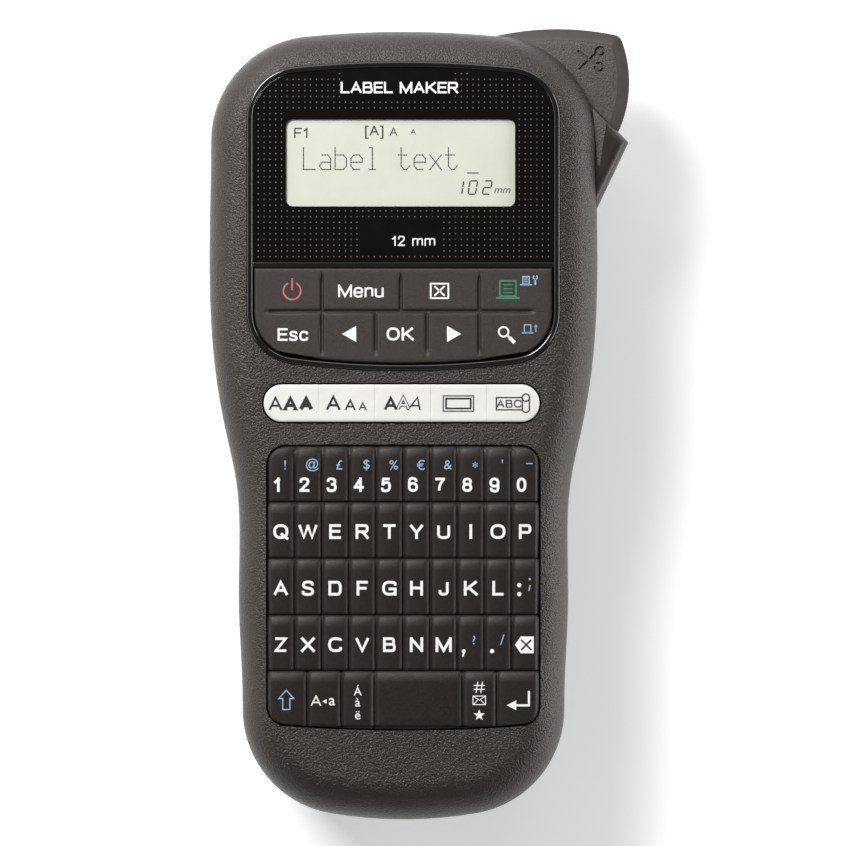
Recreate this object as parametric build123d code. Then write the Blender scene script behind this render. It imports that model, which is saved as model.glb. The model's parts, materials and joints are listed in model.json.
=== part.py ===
from build123d import *
import math
import os

# A hand-held label maker lying on its back, in millimetres.
# +X is to the right, +Y towards the top end, +Z out of the keys.
# The origin is on the flat back, on the centre line, midway between the ends.

# --- driving dimensions -------------------------------------------------

# outline seen from the front: two bowed ends, four round corners, waisted sides
top_y = 100.5
bottom_y = -101.2
corner_r = 27.0
top_corner = (22.3, 72.4)
low_corner = (14.2, -73.0)
side_points = [(49.6, 52.0), (48.5, 16.3), (45.6, -1.5), (42.9, -14.3), (42.2, -44.9)]

# depth: thick head, thin grip
front_z = 53.6
split_z = 24.0
grip_back_z = 13.0
step_start_y = -18.0
step_end_y = -44.0
wall = 2.2
front_round = 10.0
back_round = 8.0

# removable back cover
cover_inset = 3.5
cover_gap = 0.3
cover_end_y = -74.0
hook_x = 20.0
hook_width = 8.0

# glossy ring round the display and the control keys
ring_half_x = 39.8
ring_top_y = 92.3
ring_low_y = 13.6
ring_width = 1.5
ring_corner_r = 13.0
ring_top_rise = 1.4
ring_low_rise = 1.7
ring_top_z = 54.3
ledge_z = 50.6
ledge_height = 1.0
bar_low_y = 40.0
bar_top_y = 41.1

# display
window_thickness = 2.2
lcd_x = (-31.5, 30.1)
lcd_y = (53.7, 79.2)
lcd_z = (49.2, 51.4)

# keys: every key is a slab over the rubber sheet, with room to travel
key_low_z = 49.0
control_top_z = 53.7
strip_top_z = 54.2
board_key_top_z = 54.8
key_gap = 0.3
pad_half_x = 37.9
pad_low_y = 15.5
pad_mid_y = 28.7
control_upper_x = [-37.9, -20.7, -0.7, 19.3, 37.9]
control_lower_x = [-37.9, -20.7, -7.1, 6.0, 19.3, 37.9]
strip_x = [-35.5, -21.5, -7.3, 6.9, 21.1, 34.6]
strip_y = (0.6, 10.1)
strip_corner_r = 4.6
row_y = [-5.6, -19.8, -34.1, -48.5, -62.7, -77.5]
row_half_x = 34.5
column_pitch = 6.9
bottom_row_x = [-34.5, -24.4, -15.7, -7.3, 15.1, 23.8, 34.5]
key_edge_round = 0.35
opening_gap = 0.45
field_corner_r = 4.6
field_low_rise = 1.1
field_top_rise = 0.05

# circuit board and the rubber sheet on it
board_z = (45.0, 46.6)
board_half_x = 36.9
board_y = (-79.0, 84.0)
sheet_z = (46.6, 47.8)
sheet_y = (-78.0, 40.5)

# cutter
pivot = (27.2, 87.7)
spring_pocket_r = 6.6
spring_pocket_depth = 5.4
pin_r = 2.5
lever_z = (24.9, 43.0)
lever_r = 30.7
lever_top_angle = 22.6
lever_low_angle = -50.0
lever_hub_r = 9.0
lever_shoulder = (20.0, 98.6)
lever_top_middle = (38.0, 101.3)
lever_corner_r = 2.8
lever_rim_r = 1.2
drive_pin_reach = 10.0
drive_pin_angle = -2.0
drive_pin_r = 1.5
carriage_x = (34.4, 39.0)
carriage_y = (60.0, 90.2)
carriage_z = (9.0, 21.6)
blade_x = (36.6, 37.2)
blade_low_z = 7.4
blade_edge_y = 58.3

# guard beside the lever: corner by the shell, tip, and the two low corners
guard_points = [(44.0, 86.0), (57.7, 72.2), (49.7, 55.4), (44.0, 55.4)]
guard_z = (20.0, 46.0)
guard_tip_r = 0.8
guard_edge_r = 3.0

# tape and its drive
plate_z = (22.0, 23.6)
cassette_x = (-38.0, 24.0)
cassette_y = (27.0, 84.0)
cassette_z = (3.4, 20.4)
cassette_wall = 1.2
tape_y = 56.5
tape_width = 12.0
module = 0.6
gear_a_z = (24.4, 27.2)
gear_b_z = (28.0, 31.0)
stud_r = 1.2
bearing_play = 0.05
pinion_teeth = 10
wheel_teeth = 40
small_wheel_teeth = 12
idler_teeth = 30
platen_teeth = 20
takeup_teeth = 24
platen_at = (30.0, 52.9)
platen_r = 3.2

# batteries: six small cells side by side
cell_r = 5.25
cell_length = 44.5
cell_pitch = 11.0
cell_low_y = -70.5
cell_z = 21.8

# power socket in the left side
jack_y = 42.0
jack_z = 33.0
jack_pin_r = 1.0
jack_bore_r = 2.8
jack_opening_r = 4.2

# case screws
screw_places = [(-42.0, 20.0), (42.0, 20.0), (-27.0, -87.0), (27.0, -87.0)]
screw_r = 1.3
screw_head_r = 2.5
screw_head_height = 2.0
boss_r = 3.3
screw_length = 12.0

parts = {}


# --- helpers --------------------------------------------------------------

def block(x, y, z):
    """Box between pairs of limits."""
    size = (x[1] - x[0], y[1] - y[0], z[1] - z[0])
    middle = ((x[0] + x[1]) / 2, (y[0] + y[1]) / 2, (z[0] + z[1]) / 2)
    return Pos(*middle) * Box(*size)


def rod(centre, radius, z):
    """Upright cylinder between two heights."""
    return Pos(centre[0], centre[1], (z[0] + z[1]) / 2) * Cylinder(radius, z[1] - z[0])


def slab(face, z):
    """Face in the XY plane made solid between two heights."""
    return Pos(0, 0, z[0]) * extrude(face, z[1] - z[0])


def rounded(x, y, radius):
    """Rounded rectangle between pairs of limits."""
    middle = Pos((x[0] + x[1]) / 2, (y[0] + y[1]) / 2)
    return middle * RectangleRounded(x[1] - x[0], y[1] - y[0], radius)


def polar(centre, radius, angle):
    """Point at an angle in degrees round a centre."""
    turn = math.radians(angle)
    return (centre[0] + radius * math.cos(turn), centre[1] + radius * math.sin(turn))


def bow(centre_x, rise):
    """Large end arc that meets a corner arc: its extra radius and half angle."""
    reach = (centre_x ** 2 + rise ** 2) / (2 * rise)
    return reach, math.degrees(math.asin(centre_x / reach))


def bowed_field(half_x, low_y, high_y, radius, low_rise, high_rise):
    """Rounded field whose two ends bulge by a rise in the middle."""
    centre_x = half_x - radius
    arcs = []
    for end_y, rise, way in ((high_y, high_rise, 1), (low_y, low_rise, -1)):
        reach, turn = bow(centre_x, rise)
        corner = (centre_x, end_y - way * (rise + radius))
        big = CenterArc((0, end_y - way * (reach + radius)), reach + radius, 90 * way, -turn * way)
        arcs += [big, CenterArc(corner, radius, 90 * way - turn * way, (turn - 90) * way)]
    top_big, top_round, low_big, low_round = arcs
    side = Line(top_round @ 1, low_round @ 1)
    half = Curve() + [top_big, top_round, side, low_round, low_big]
    return make_face(half + mirror(half, Plane.YZ))


def ring_field(inset):
    """Outline of the glossy ring, drawn in by an inset."""
    return bowed_field(ring_half_x - inset, ring_low_y + inset, ring_top_y - inset, ring_corner_r - inset,
                       ring_low_rise, ring_top_rise)


def letter_field(inset):
    """Outline of the whole letter keyboard, drawn in by an inset."""
    return bowed_field(row_half_x - inset, row_y[-1] + inset, row_y[0] - inset, field_corner_r - inset,
                       field_low_rise, field_top_rise)


def outline(inset):
    """Body outline, drawn in by an inset."""
    r = corner_r - inset
    top_reach, top_turn = bow(top_corner[0], top_y - top_corner[1] - corner_r)
    low_reach, low_turn = bow(low_corner[0], low_corner[1] - corner_r - bottom_y)
    top_arc = CenterArc((0, top_y - top_reach - corner_r), top_reach + r, 90, -top_turn)
    top_round = CenterArc(top_corner, r, 90 - top_turn, top_turn - 90)
    side = Spline(
        [(top_corner[0] + r, top_corner[1])]
        + [(x - inset, y) for x, y in side_points]
        + [(low_corner[0] + r, low_corner[1])],
        tangents=[(0, -1), (0, -1)],
    )
    low_round = CenterArc(low_corner, r, 0, low_turn - 90)
    low_arc = CenterArc((0, bottom_y + low_reach + corner_r), low_reach + r, low_turn - 90, -low_turn)
    half = Curve() + [top_arc, top_round, side, low_round, low_arc]
    return make_face(half + mirror(half, Plane.YZ))


def front_form(inset):
    """Front half of the body as a full solid, with its front edge rounded."""
    body = slab(outline(inset), (split_z, front_z - inset))
    edge = body.faces().sort_by(Axis.Z)[-1].edges()
    return fillet(edge, front_round - inset)


def rear_form(inset):
    """Rear half of the body as a full solid: flat head, stepped up to the grip."""
    body = slab(outline(inset), (0, split_z))
    far = 120
    back_line = Curve() + [
        Line((far, inset), (step_start_y, inset)),
        Spline([(step_start_y, inset), (step_end_y, grip_back_z + inset)], tangents=[(-1, 0), (-1, 0)]),
        Line((step_end_y, grip_back_z + inset), (-far, grip_back_z + inset)),
        Line((-far, grip_back_z + inset), (-far, split_z)),
        Line((-far, split_z), (far, split_z)),
        Line((far, split_z), (far, inset)),
    ]
    side_view = make_face(Plane.YZ * back_line)
    body = body & extrude(side_view, 60, both=True)
    low_edges = [e for e in body.edges() if e.bounding_box().max.Z < split_z - 1 and not is_crossing(e)]
    return fillet(low_edges, back_round - inset)


def is_crossing(edge):
    """True for the straight seams that run across the back from side to side."""
    box = edge.bounding_box()
    return box.size.X > 60 and box.size.Y < 0.01


# --- casing ---------------------------------------------------------------

def lever_notch():
    """Space in the top right corner of the casing that the lever swings through."""
    return block((17, 70), (62, 115), (split_z - 1, lever_z[1] + 0.5))


def make_front_shell():
    shell = front_form(0) - front_form(wall)
    ring_hole = ring_field(-0.1)
    strip_hole = rounded((strip_x[0] - opening_gap, strip_x[-1] + opening_gap),
                         (strip_y[0] - opening_gap, strip_y[1] + opening_gap), strip_corner_r + opening_gap)
    keys_hole = letter_field(-opening_gap)
    for hole in (ring_hole, strip_hole, keys_hole):
        shell -= slab(hole, (front_z - 5, front_z + 5))
    for place in screw_places:
        shell += rod(place, boss_r, (split_z + 0.2, front_z - wall))
    shell = shell & front_form(0)
    for place in screw_places:
        shell -= rod(place, screw_r + 0.02, (split_z, split_z + screw_length + 2))
    shell -= lever_notch()
    shell -= jack_opening()
    parts["front_shell"] = shell


def jack_opening():
    """Round hole in the left wall in front of the power socket."""
    return Pos(-45, jack_y, jack_z) * Rot(0, 90, 0) * Cylinder(jack_opening_r, 16)


def cover_region(inset, end_y):
    """Upright block with the outline of the back cover."""
    return slab(outline(inset), (-1, 22)) & block((-70, 70), (end_y, 110), (-1, 22))


def make_rear_shell():
    skin = rear_form(0) - rear_form(wall)
    shell = skin - cover_region(cover_inset - cover_gap, cover_end_y - cover_gap)
    # battery tray: four walls and a floor, open towards the cover
    tray_x = (-3 * cell_pitch - 1, 3 * cell_pitch + 1)
    tray_y = (cell_low_y - 1.2, cell_low_y + cell_length + 3.2)
    tray_z = (18.0, split_z + 5)
    outer = block((tray_x[0] - 1.2, tray_x[1] + 1.2), (tray_y[0] - 1.2, tray_y[1] + 1.2), tray_z)
    tray = outer - block(tray_x, tray_y, (tray_z[0] - 1, tray_z[1] - 1.4))
    # bridge between the tray and the tape bay, and round the tray
    bridge = slab(outline(wall - 0.2), (plate_z[0], plate_z[1])) & block((-60, 60), (-99, 23.6), plate_z)
    bridge -= block((tray_x[0] - 0.1, tray_x[1] + 0.1), (tray_y[0] - 0.1, tray_y[1] + 0.1), (0, 40))
    shell = shell + bridge + tray
    for place in screw_places:
        shell += rod(place, boss_r, (plate_z[0] - 3, split_z))
    for place in screw_places:
        shell -= rod(place, screw_r + 0.2, (0, split_z + 1))
        shell -= rod(place, screw_head_r + 0.3, (0, plate_z[0] - 1))
    # slot that the finished tape leaves through
    shell -= block((40, 60), (tape_y - 1.3, tape_y + 1.3), (5.5, 20))
    # rib that guides the blade carriage on its outer side
    rib = block((carriage_x[1] + 0.25, 47.4), (64, 66), (9, 21.5)) & rear_form(wall - 0.5)
    parts["rear_shell"] = shell + rib


def make_back_cover():
    skin = rear_form(0) - rear_form(wall)
    cover = skin & cover_region(cover_inset, cover_end_y)
    hook_z = (grip_back_z + wall + 0.3, grip_back_z + wall + 1.7)
    for x in (-hook_x, hook_x):
        across = (x - hook_width / 2, x + hook_width / 2)
        cover += block(across, (cover_end_y, cover_end_y + 0.9), (grip_back_z + 1, hook_z[1]))
        cover += block(across, (cover_end_y - 2.4, cover_end_y + 0.9), hook_z)
    # ridged thumb patch by the latch at the top end
    for k in range(5):
        ridge_y = 78 + 2.2 * k
        cover -= block((-9, 9), (ridge_y, ridge_y + 1.1), (-1, 0.5))
    parts["back_cover"] = cover


def make_guard():
    """Fixed wedge beside the top right corner: it covers the lever's lower end."""
    wedge = make_face(Polyline(*guard_points, close=True))
    tip = wedge.vertices().sort_by(Axis.X)[-1]
    guard = slab(fillet(tip, guard_tip_r), guard_z)
    front_edges = guard.faces().sort_by(Axis.Z)[-1].edges().filter_by(GeomType.LINE)
    outer_edge = front_edges.sort_by(Axis.X)[-1]
    guard = fillet(outer_edge, guard_edge_r)
    guard = guard - rear_form(-0.05) - front_form(-0.05)
    guard -= rod(pivot, lever_r + 0.4, (lever_z[0] - 0.3, lever_z[1] + 0.4))
    solids = guard.solids().sort_by(SortBy.VOLUME)
    parts["cutter_guard"] = Part() + solids[-1]


# --- display --------------------------------------------------------------

def make_ring():
    outer = ring_field(0)
    inner = ring_field(ring_width)
    inner_x = ring_half_x - ring_width
    hole = ring_field(ring_width + 2) & (Pos(0, 70) * Rectangle(90, 2 * (70 - bar_top_y)))
    ring = slab(outer - inner, (ledge_z, ring_top_z))
    ledge = slab(inner - hole, (ledge_z, ledge_z + ledge_height))
    ledge = ledge & block((-50, 50), (bar_low_y, 100), (0, 60))
    bar = block((-inner_x - 0.1, inner_x + 0.1), (bar_low_y, bar_top_y), (ledge_z, control_top_z))
    parts["bezel_frame"] = ring + ledge + bar


def make_display():
    pane = ring_field(ring_width + 0.1)
    pane = pane & (Pos(0, 70) * Rectangle(90, 2 * (70 - bar_top_y - 0.1)))
    low_z = ledge_z + ledge_height
    parts["display_window"] = slab(pane, (low_z, low_z + window_thickness))
    parts["lcd_panel"] = block(lcd_x, lcd_y, lcd_z)
    rim = 2.2
    rim_x = (lcd_x[0] - rim, lcd_x[1] + rim)
    rim_y = (lcd_y[0] - rim, lcd_y[1] + rim)
    holder = block(rim_x, rim_y, (board_z[1], lcd_z[1]))
    holder -= block(lcd_x, lcd_y, (lcd_z[0], 60))
    holder -= block((lcd_x[0] + 2, lcd_x[1] - 2), (lcd_y[0] + 2, lcd_y[1] - 2), (0, 60))
    holder -= block((-12, 12), (lcd_y[0] - 3, lcd_y[0] + 3), (0, 60))
    parts["lcd_holder"] = holder
    flex = block((-10, 10), (48.5, lcd_y[0]), (lcd_z[0] + 0.4, lcd_z[0] + 0.7))
    flex += block((-10, 10), (48.5, 48.8), (board_z[1], lcd_z[0] + 0.7))
    parts["lcd_flex"] = flex


# --- keys -----------------------------------------------------------------

def key_slab(face, top_z):
    key = slab(face, (key_low_z, top_z))
    return fillet(key.faces().sort_by(Axis.Z)[-1].edges(), key_edge_round)


def cell(x, y):
    """Rectangle between limits, drawn in by half the gap between keys."""
    half_gap = key_gap / 2
    width = x[1] - x[0] - 2 * half_gap
    height = y[1] - y[0] - 2 * half_gap
    return Pos((x[0] + x[1]) / 2, (y[0] + y[1]) / 2) * Rectangle(width, height)


def key_line(names, edges_x, y, whole, top_z):
    """Keys side by side, all cut from one rounded field."""
    for k, name in enumerate(names):
        left = edges_x[k] - (1 if k == 0 else 0)
        right = edges_x[k + 1] + (1 if k == len(names) - 1 else 0)
        parts[name] = key_slab(whole & cell((left, right), y), top_z)


def make_control_keys():
    pad = ring_field(ring_half_x - pad_half_x)
    pad_top = bar_low_y - 0.15
    upper = ["key_power", "key_menu", "key_cancel", "key_print"]
    lower = ["key_escape", "key_left", "key_ok", "key_right", "key_preview"]
    key_line(upper, control_upper_x, (pad_mid_y, pad_top), pad, control_top_z)
    key_line(lower, control_lower_x, (pad_low_y - 1, pad_mid_y), pad, control_top_z)


def make_strip_keys():
    field = rounded((strip_x[0], strip_x[-1]), strip_y, strip_corner_r)
    names = ["key_font", "key_size", "key_style", "key_frame", "key_template"]
    key_line(names, strip_x, (strip_y[0] - 1, strip_y[1] + 1), field, strip_top_z)


def make_board_keys():
    field = letter_field(0)
    rows = ["key_row_numbers", "key_row_q", "key_row_a"]
    whole_row = [-row_half_x, row_half_x]
    for k, name in enumerate(rows):
        top = row_y[k] + (1 if k == 0 else 0)
        key_line([name], whole_row, (row_y[k + 1], top), field, board_key_top_z)
    split_x = 4 * column_pitch
    key_line(["key_row_z", "key_backspace"], [-row_half_x, split_x, row_half_x], (row_y[4], row_y[3]),
             field, board_key_top_z)
    names = ["key_shift", "key_caps", "key_accent", "key_space", "key_symbol", "key_enter"]
    key_line(names, bottom_row_x, (row_y[5] - 1, row_y[4]), field, board_key_top_z)


# --- electronics and power ------------------------------------------------

def make_boards():
    board = slab(rounded((-board_half_x, board_half_x), board_y, 6), board_z)
    parts["main_board"] = board
    sheet = slab(rounded((-board_half_x + 0.4, board_half_x - 0.4), sheet_y, 5), sheet_z)
    parts["keypad_membrane"] = sheet
    chips = [((-8, 8), (-20, -4), 1.6), ((14, 24), (-18, -8), 1.4), ((-28, -18), (-14, -4), 1.4),
             ((-30, -18), (20, 27), 3.0), ((-4, 4), (18, 24), 2.2)]
    components = Part()
    for x, y, height in chips:
        components += block(x, y, (board_z[0] - height, board_z[0]))
    for k in range(3):
        components += rod((16 + 7 * k, 12), 2.5, (board_z[0] - 6, board_z[0]))
    parts["board_components"] = components


def make_batteries():
    cells = Part()
    contacts = Part()
    end_y = cell_low_y + cell_length
    for k in range(6):
        x = (k - 2.5) * cell_pitch
        turn = 1 if k % 2 == 0 else -1
        cells += Pos(x, cell_low_y + (cell_length - 1) / 2 + (0 if turn > 0 else 1), cell_z) \
            * Rot(90, 0, 0) * Cylinder(cell_r, cell_length - 1)
        nub_y = end_y - 0.5 if turn > 0 else cell_low_y + 0.5
        cells += Pos(x, nub_y, cell_z) * Rot(90, 0, 0) * Cylinder(1.9, 1)
        across = (x - 3.5, x + 3.5)
        height = (cell_z - 3.5, cell_z + 5)
        contacts += block(across, (cell_low_y - 0.9, cell_low_y - 0.5), height)
        contacts += block(across, (end_y + 2.6, end_y + 3.0), height)
        coil_y = (end_y + 1.3) if turn < 0 else cell_low_y - 0.3
        coil_length = 2.6 if turn < 0 else 0.4
        contacts += Pos(x, coil_y, cell_z) * Rot(90, 0, 0) * Cone(3.0, 1.8, coil_length)
    parts["battery_cells"] = cells
    parts["battery_contacts"] = contacts


def make_jack():
    """Round socket with a centre pin, open to the left."""
    body = block((-45.4, -33.5), (jack_y - 4.6, jack_y + 4.6), (jack_z - 5, jack_z + 5))
    body -= Pos(-42, jack_y, jack_z) * Rot(0, 90, 0) * Cylinder(jack_bore_r, 11)
    body += Pos(-40, jack_y, jack_z) * Rot(0, 90, 0) * Cylinder(jack_pin_r, 9)
    feet = block((-36, -34), (jack_y - 3, jack_y + 3), (jack_z + 5, board_z[0]))
    parts["dc_jack"] = body + feet


def make_screws():
    screws = Part()
    for place in screw_places:
        head_z = plate_z[0] - 3
        screws += rod(place, screw_r, (head_z, split_z + screw_length))
        screws += rod(place, screw_head_r, (head_z, head_z + screw_head_height))
    parts["case_screws"] = screws


# --- gears ----------------------------------------------------------------

def gear_face(teeth, at, tooth_angle):
    """Involute spur gear outline with one tooth centred on the given angle."""
    pitch_r = module * teeth / 2
    base_r = pitch_r * math.cos(math.radians(20))
    tip_r = pitch_r + 0.85 * module
    root_r = pitch_r - 1.2 * module
    roll = math.tan(math.radians(20)) - math.radians(20)
    half_tooth = math.pi / (2 * teeth) * 0.86 + roll
    flank_steps = 4
    flank = []
    low_r = max(base_r, root_r)
    for k in range(flank_steps + 1):
        radius = low_r + (tip_r - low_r) * k / flank_steps
        pressure = math.acos(min(1.0, base_r / radius))
        flank.append((radius, half_tooth - (math.tan(pressure) - pressure)))
    flank.insert(0, (root_r, flank[0][1] * 1.02))
    points = []
    for tooth in range(teeth):
        middle = math.radians(tooth_angle) + 2 * math.pi * tooth / teeth
        rising = [polar(at, radius, math.degrees(middle - spread)) for radius, spread in flank]
        falling = [polar(at, radius, math.degrees(middle + spread)) for radius, spread in reversed(flank)]
        points += rising + falling
    return make_face(Polyline(*points, close=True))


def meshed_angle(teeth, tooth_angle, direction, next_teeth):
    """Tooth angle of the next gear, so that its gap takes the first gear's tooth."""
    return direction + 180 + 180 / next_teeth - (tooth_angle - direction) * teeth / next_teeth


def gap_between(first_teeth, second_teeth):
    return module * (first_teeth + second_teeth) / 2 + 0.03


# directions from the idler to each gear that it meets
platen_direction = 20.0
takeup_direction = -120.0
wheel_direction = 160.0
idler_at = polar(platen_at, gap_between(platen_teeth, idler_teeth), platen_direction + 180)
takeup_at = polar(idler_at, gap_between(idler_teeth, takeup_teeth), takeup_direction)
wheel_at = polar(idler_at, gap_between(idler_teeth, small_wheel_teeth), wheel_direction)
pinion_at = polar(wheel_at, gap_between(wheel_teeth, pinion_teeth), 180)
spool_at = (-15.0, 57.0)
spool_r = 16.5
spool_hub_r = 5.0
spindle_r = 2.5
spindle_hole_r = 3.5
motor_shaft_r = 0.8
motor_r = 7.8


def make_gears():
    idler = slab(gear_face(idler_teeth, idler_at, 0), gear_a_z)
    parts["idler_gear"] = idler - rod(idler_at, stud_r + bearing_play, (0, 60))
    turn = meshed_angle(idler_teeth, 0, platen_direction, platen_teeth)
    platen = slab(gear_face(platen_teeth, platen_at, turn), gear_a_z)
    parts["platen_gear"] = platen - rod(platen_at, stud_r, (0, 60))
    turn = meshed_angle(idler_teeth, 0, takeup_direction, takeup_teeth)
    spindle = slab(gear_face(takeup_teeth, takeup_at, turn), gear_a_z)
    spindle += rod(takeup_at, spindle_r, (5.5, gear_a_z[0]))
    for k in range(6):
        fin = block((2.0, 3.0), (-0.5, 0.5), (6, 18))
        spindle += Pos(takeup_at[0], takeup_at[1], 0) * Rot(0, 0, 60 * k) * fin
    parts["takeup_spindle"] = spindle
    turn = meshed_angle(idler_teeth, 0, wheel_direction, small_wheel_teeth)
    small = slab(gear_face(small_wheel_teeth, wheel_at, turn), (gear_a_z[0], gear_b_z[0]))
    large = slab(gear_face(wheel_teeth, wheel_at, 0), gear_b_z)
    parts["reduction_gear"] = small + large - rod(wheel_at, stud_r + bearing_play, (0, 60))
    turn = meshed_angle(wheel_teeth, 0, 180, pinion_teeth)
    pinion = slab(gear_face(pinion_teeth, pinion_at, turn), gear_b_z)
    parts["motor_pinion"] = pinion + rod(pinion_at, motor_shaft_r, (gear_b_z[1] - 1, gear_b_z[1] + 4))


def make_motor():
    can = rod(pinion_at, motor_r, (gear_b_z[1] + 1.6, 44.2))
    flats = block((pinion_at[0] - 9, pinion_at[0] + 9), (pinion_at[1] - 6.2, pinion_at[1] + 6.2), (0, 60))
    can = can & flats
    can -= rod(pinion_at, motor_shaft_r + bearing_play, (0, gear_b_z[1] + 4.4))
    parts["motor"] = can


def make_gear_plate():
    """Floor of the tape bay: carries the studs, the motor bracket and the anvil."""
    plate = slab(outline(wall + 0.2), plate_z) & block((-60, 60), (24.0, 110), plate_z)
    plate -= block((carriage_x[0] - 1.4, 60), (tape_y + 3.4, 110), (0, 60))
    for stud_at, top in ((idler_at, gear_a_z[1] + 0.6), (wheel_at, gear_b_z[1] + 0.4)):
        plate += rod(stud_at, stud_r, (plate_z[1] - 1, top))
        plate += rod(stud_at, stud_r + 1, (plate_z[1] - 1, gear_a_z[0] - 0.3))
    # bracket: two posts and a bridge that the motor stands on
    for side in (-1, 1):
        post_at = (pinion_at[0] - 2, pinion_at[1] + 13.5 * side)
        plate += rod(post_at, 1.8, (plate_z[1] - 1, gear_b_z[1] + 0.7))
    bridge_x = (pinion_at[0] - 9, pinion_at[0] + 7)
    bridge_y = (pinion_at[1] - 15.5, pinion_at[1] + 15.5)
    bridge = block(bridge_x, bridge_y, (gear_b_z[1] + 0.7, gear_b_z[1] + 1.6))
    plate += bridge - rod(pinion_at, 2, (0, 60))
    # flange that guides the blade carriage on its inner side, and the anvil
    plate += block((carriage_x[0] - 1.4, carriage_x[0] - 0.25), (62, 82), (9, plate_z[1]))
    plate += block((35.2, 39.5), (50.5, 54.6), (5, plate_z[1]))
    plate -= rod(platen_at, stud_r + bearing_play, (0, 60))
    plate -= rod(takeup_at, spindle_r + bearing_play, (0, 60))
    # hub for the cutter's pivot pin
    hub = rod(pivot, 5.5, (plate_z[0], plate_z[1] + 0.6)) + rod(pivot, 4.0, (13, plate_z[0]))
    plate += hub
    plate -= rod(pivot, pin_r, (15, 60))
    parts["gear_plate"] = plate


# --- tape and print head --------------------------------------------------

def make_tape():
    outer = slab(rounded(cassette_x, cassette_y, 3), cassette_z)
    inner = slab(rounded((cassette_x[0] + cassette_wall, cassette_x[1] - cassette_wall),
                         (cassette_y[0] + cassette_wall, cassette_y[1] - cassette_wall), 2),
                 (cassette_z[0] + cassette_wall, cassette_z[1] - cassette_wall))
    case = outer - inner
    case += rod(spool_at, spool_hub_r, (cassette_z[0] + 0.5, cassette_z[1] - 0.5))
    case -= rod(spool_at, 2.0, (0, 60))
    case -= rod(takeup_at, spindle_hole_r, (0, 60))
    # slot that the tape leaves by, and the free end of the tape
    tape_mid_z = (cassette_z[0] + cassette_z[1]) / 2
    tape_z = (tape_mid_z - tape_width / 2, tape_mid_z + tape_width / 2)
    slot_x = (cassette_x[1] - 3, cassette_x[1] + 1)
    case -= block(slot_x, (tape_y - 0.8, tape_y + 0.8), (tape_z[0] - 0.5, tape_z[1] + 0.5))
    parts["tape_cassette"] = case
    strip_ends = (cassette_x[1] - 4, carriage_x[0] - 0.6)
    parts["tape_strip"] = block(strip_ends, (tape_y - 0.1, tape_y + 0.1), tape_z)
    spool = rod(spool_at, spool_r, (cassette_z[0] + 2, cassette_z[1] - 2))
    parts["tape_spool"] = spool - rod(spool_at, spool_hub_r + bearing_play, (0, 60))
    roller = rod(platen_at, platen_r, (6, 20))
    roller += rod(platen_at, stud_r, (19, gear_a_z[1] + 0.8))
    parts["platen_roller"] = roller
    head_x = (platen_at[0] - 3.5, platen_at[0] + 3.4)
    parts["print_head"] = block(head_x, (tape_y + 0.1, tape_y + 1.3), (5, 21))
    sink = block(head_x, (tape_y + 1.3, tape_y + 2.9), (5, plate_z[0]))
    for k in range(3):
        fin_z = 7 + 4.5 * k
        sink += block((head_x[0], head_x[1] - 1), (tape_y + 2.9, tape_y + 4.4), (fin_z, fin_z + 1.2))
    parts["head_heat_sink"] = sink


# --- cutter ---------------------------------------------------------------

def lever_face():
    """Lever seen from the front: a sector round the pivot with a full top corner."""
    arc_top = polar(pivot, lever_r, lever_top_angle)
    arc_end = polar(pivot, lever_r, lever_low_angle)
    arc_mid = polar(pivot, lever_r, (lever_top_angle + lever_low_angle) / 2)
    heel = polar(pivot, lever_hub_r, lever_low_angle - 30)
    back = (pivot[0] - lever_hub_r, pivot[1])
    edge = Curve() + [
        ThreePointArc(lever_shoulder, lever_top_middle, arc_top),
        ThreePointArc(arc_top, arc_mid, arc_end),
        Line(arc_end, heel),
        ThreePointArc(heel, polar(pivot, lever_hub_r, 225), back),
        Line(back, lever_shoulder),
    ]
    face = make_face(edge)
    corner = face.vertices().sort_by_distance(arc_top)[0]
    return fillet(corner, lever_corner_r)


def make_cutter():
    lever = slab(lever_face(), lever_z)
    rim = lever.faces().sort_by(Axis.Z)[-1].edges()
    outer_rim = [e for e in rim if e.geom_type == GeomType.CIRCLE and (e @ 0.5).X > pivot[0]]
    lever = fillet(outer_rim, lever_rim_r)
    lever -= rod(pivot, pin_r + bearing_play, (0, 60))
    lever -= rod(pivot, spring_pocket_r, (lever_z[0] - 1, lever_z[0] + spring_pocket_depth))
    pin_at = polar(pivot, drive_pin_reach, drive_pin_angle)
    lever += rod(pin_at, drive_pin_r, (14, lever_z[0] + 8))
    parts["cutter_lever"] = lever
    parts["cutter_pivot_pin"] = rod(pivot, pin_r, (15, lever_z[1] - 0.6))

    carriage = block(carriage_x, carriage_y, carriage_z)
    slot = SlotCenterToCenter(1.3, 2 * drive_pin_r + 0.3)
    slot_at = Pos(pin_at[0] - 0.25, pin_at[1], 0)
    carriage -= slot_at * slab(slot, (0, 60))
    carriage -= block((blade_x[0] - 0.01, blade_x[1] + 0.01), (0, carriage_y[0] + 5), (0, 60))
    parts["blade_carriage"] = carriage
    blade = block(blade_x, (blade_edge_y + 0.6, carriage_y[0] + 5), (blade_low_z, carriage_z[1]))
    edge_line = Plane.XY * Polyline((blade_x[0], blade_edge_y + 0.6), (blade_x[1], blade_edge_y + 0.6),
                                    (blade_x[0] + 0.3, blade_edge_y), close=True)
    parts["cutter_blade"] = blade + slab(make_face(edge_line), (blade_low_z, carriage_z[1]))


def make_spring():
    """Coil that pushes the lever back up, in the pocket under the lever's hub."""
    wire = 0.35
    path = Helix(pitch=0.95, height=3.8, radius=4.6)
    start = path @ 0
    section = Plane(start, z_dir=path % 0) * Circle(wire)
    coil = sweep(section, path=path, is_frenet=True)
    parts["lever_spring"] = Pos(pivot[0], pivot[1], lever_z[0] + 0.2) * coil


# --- build and write ------------------------------------------------------

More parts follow.
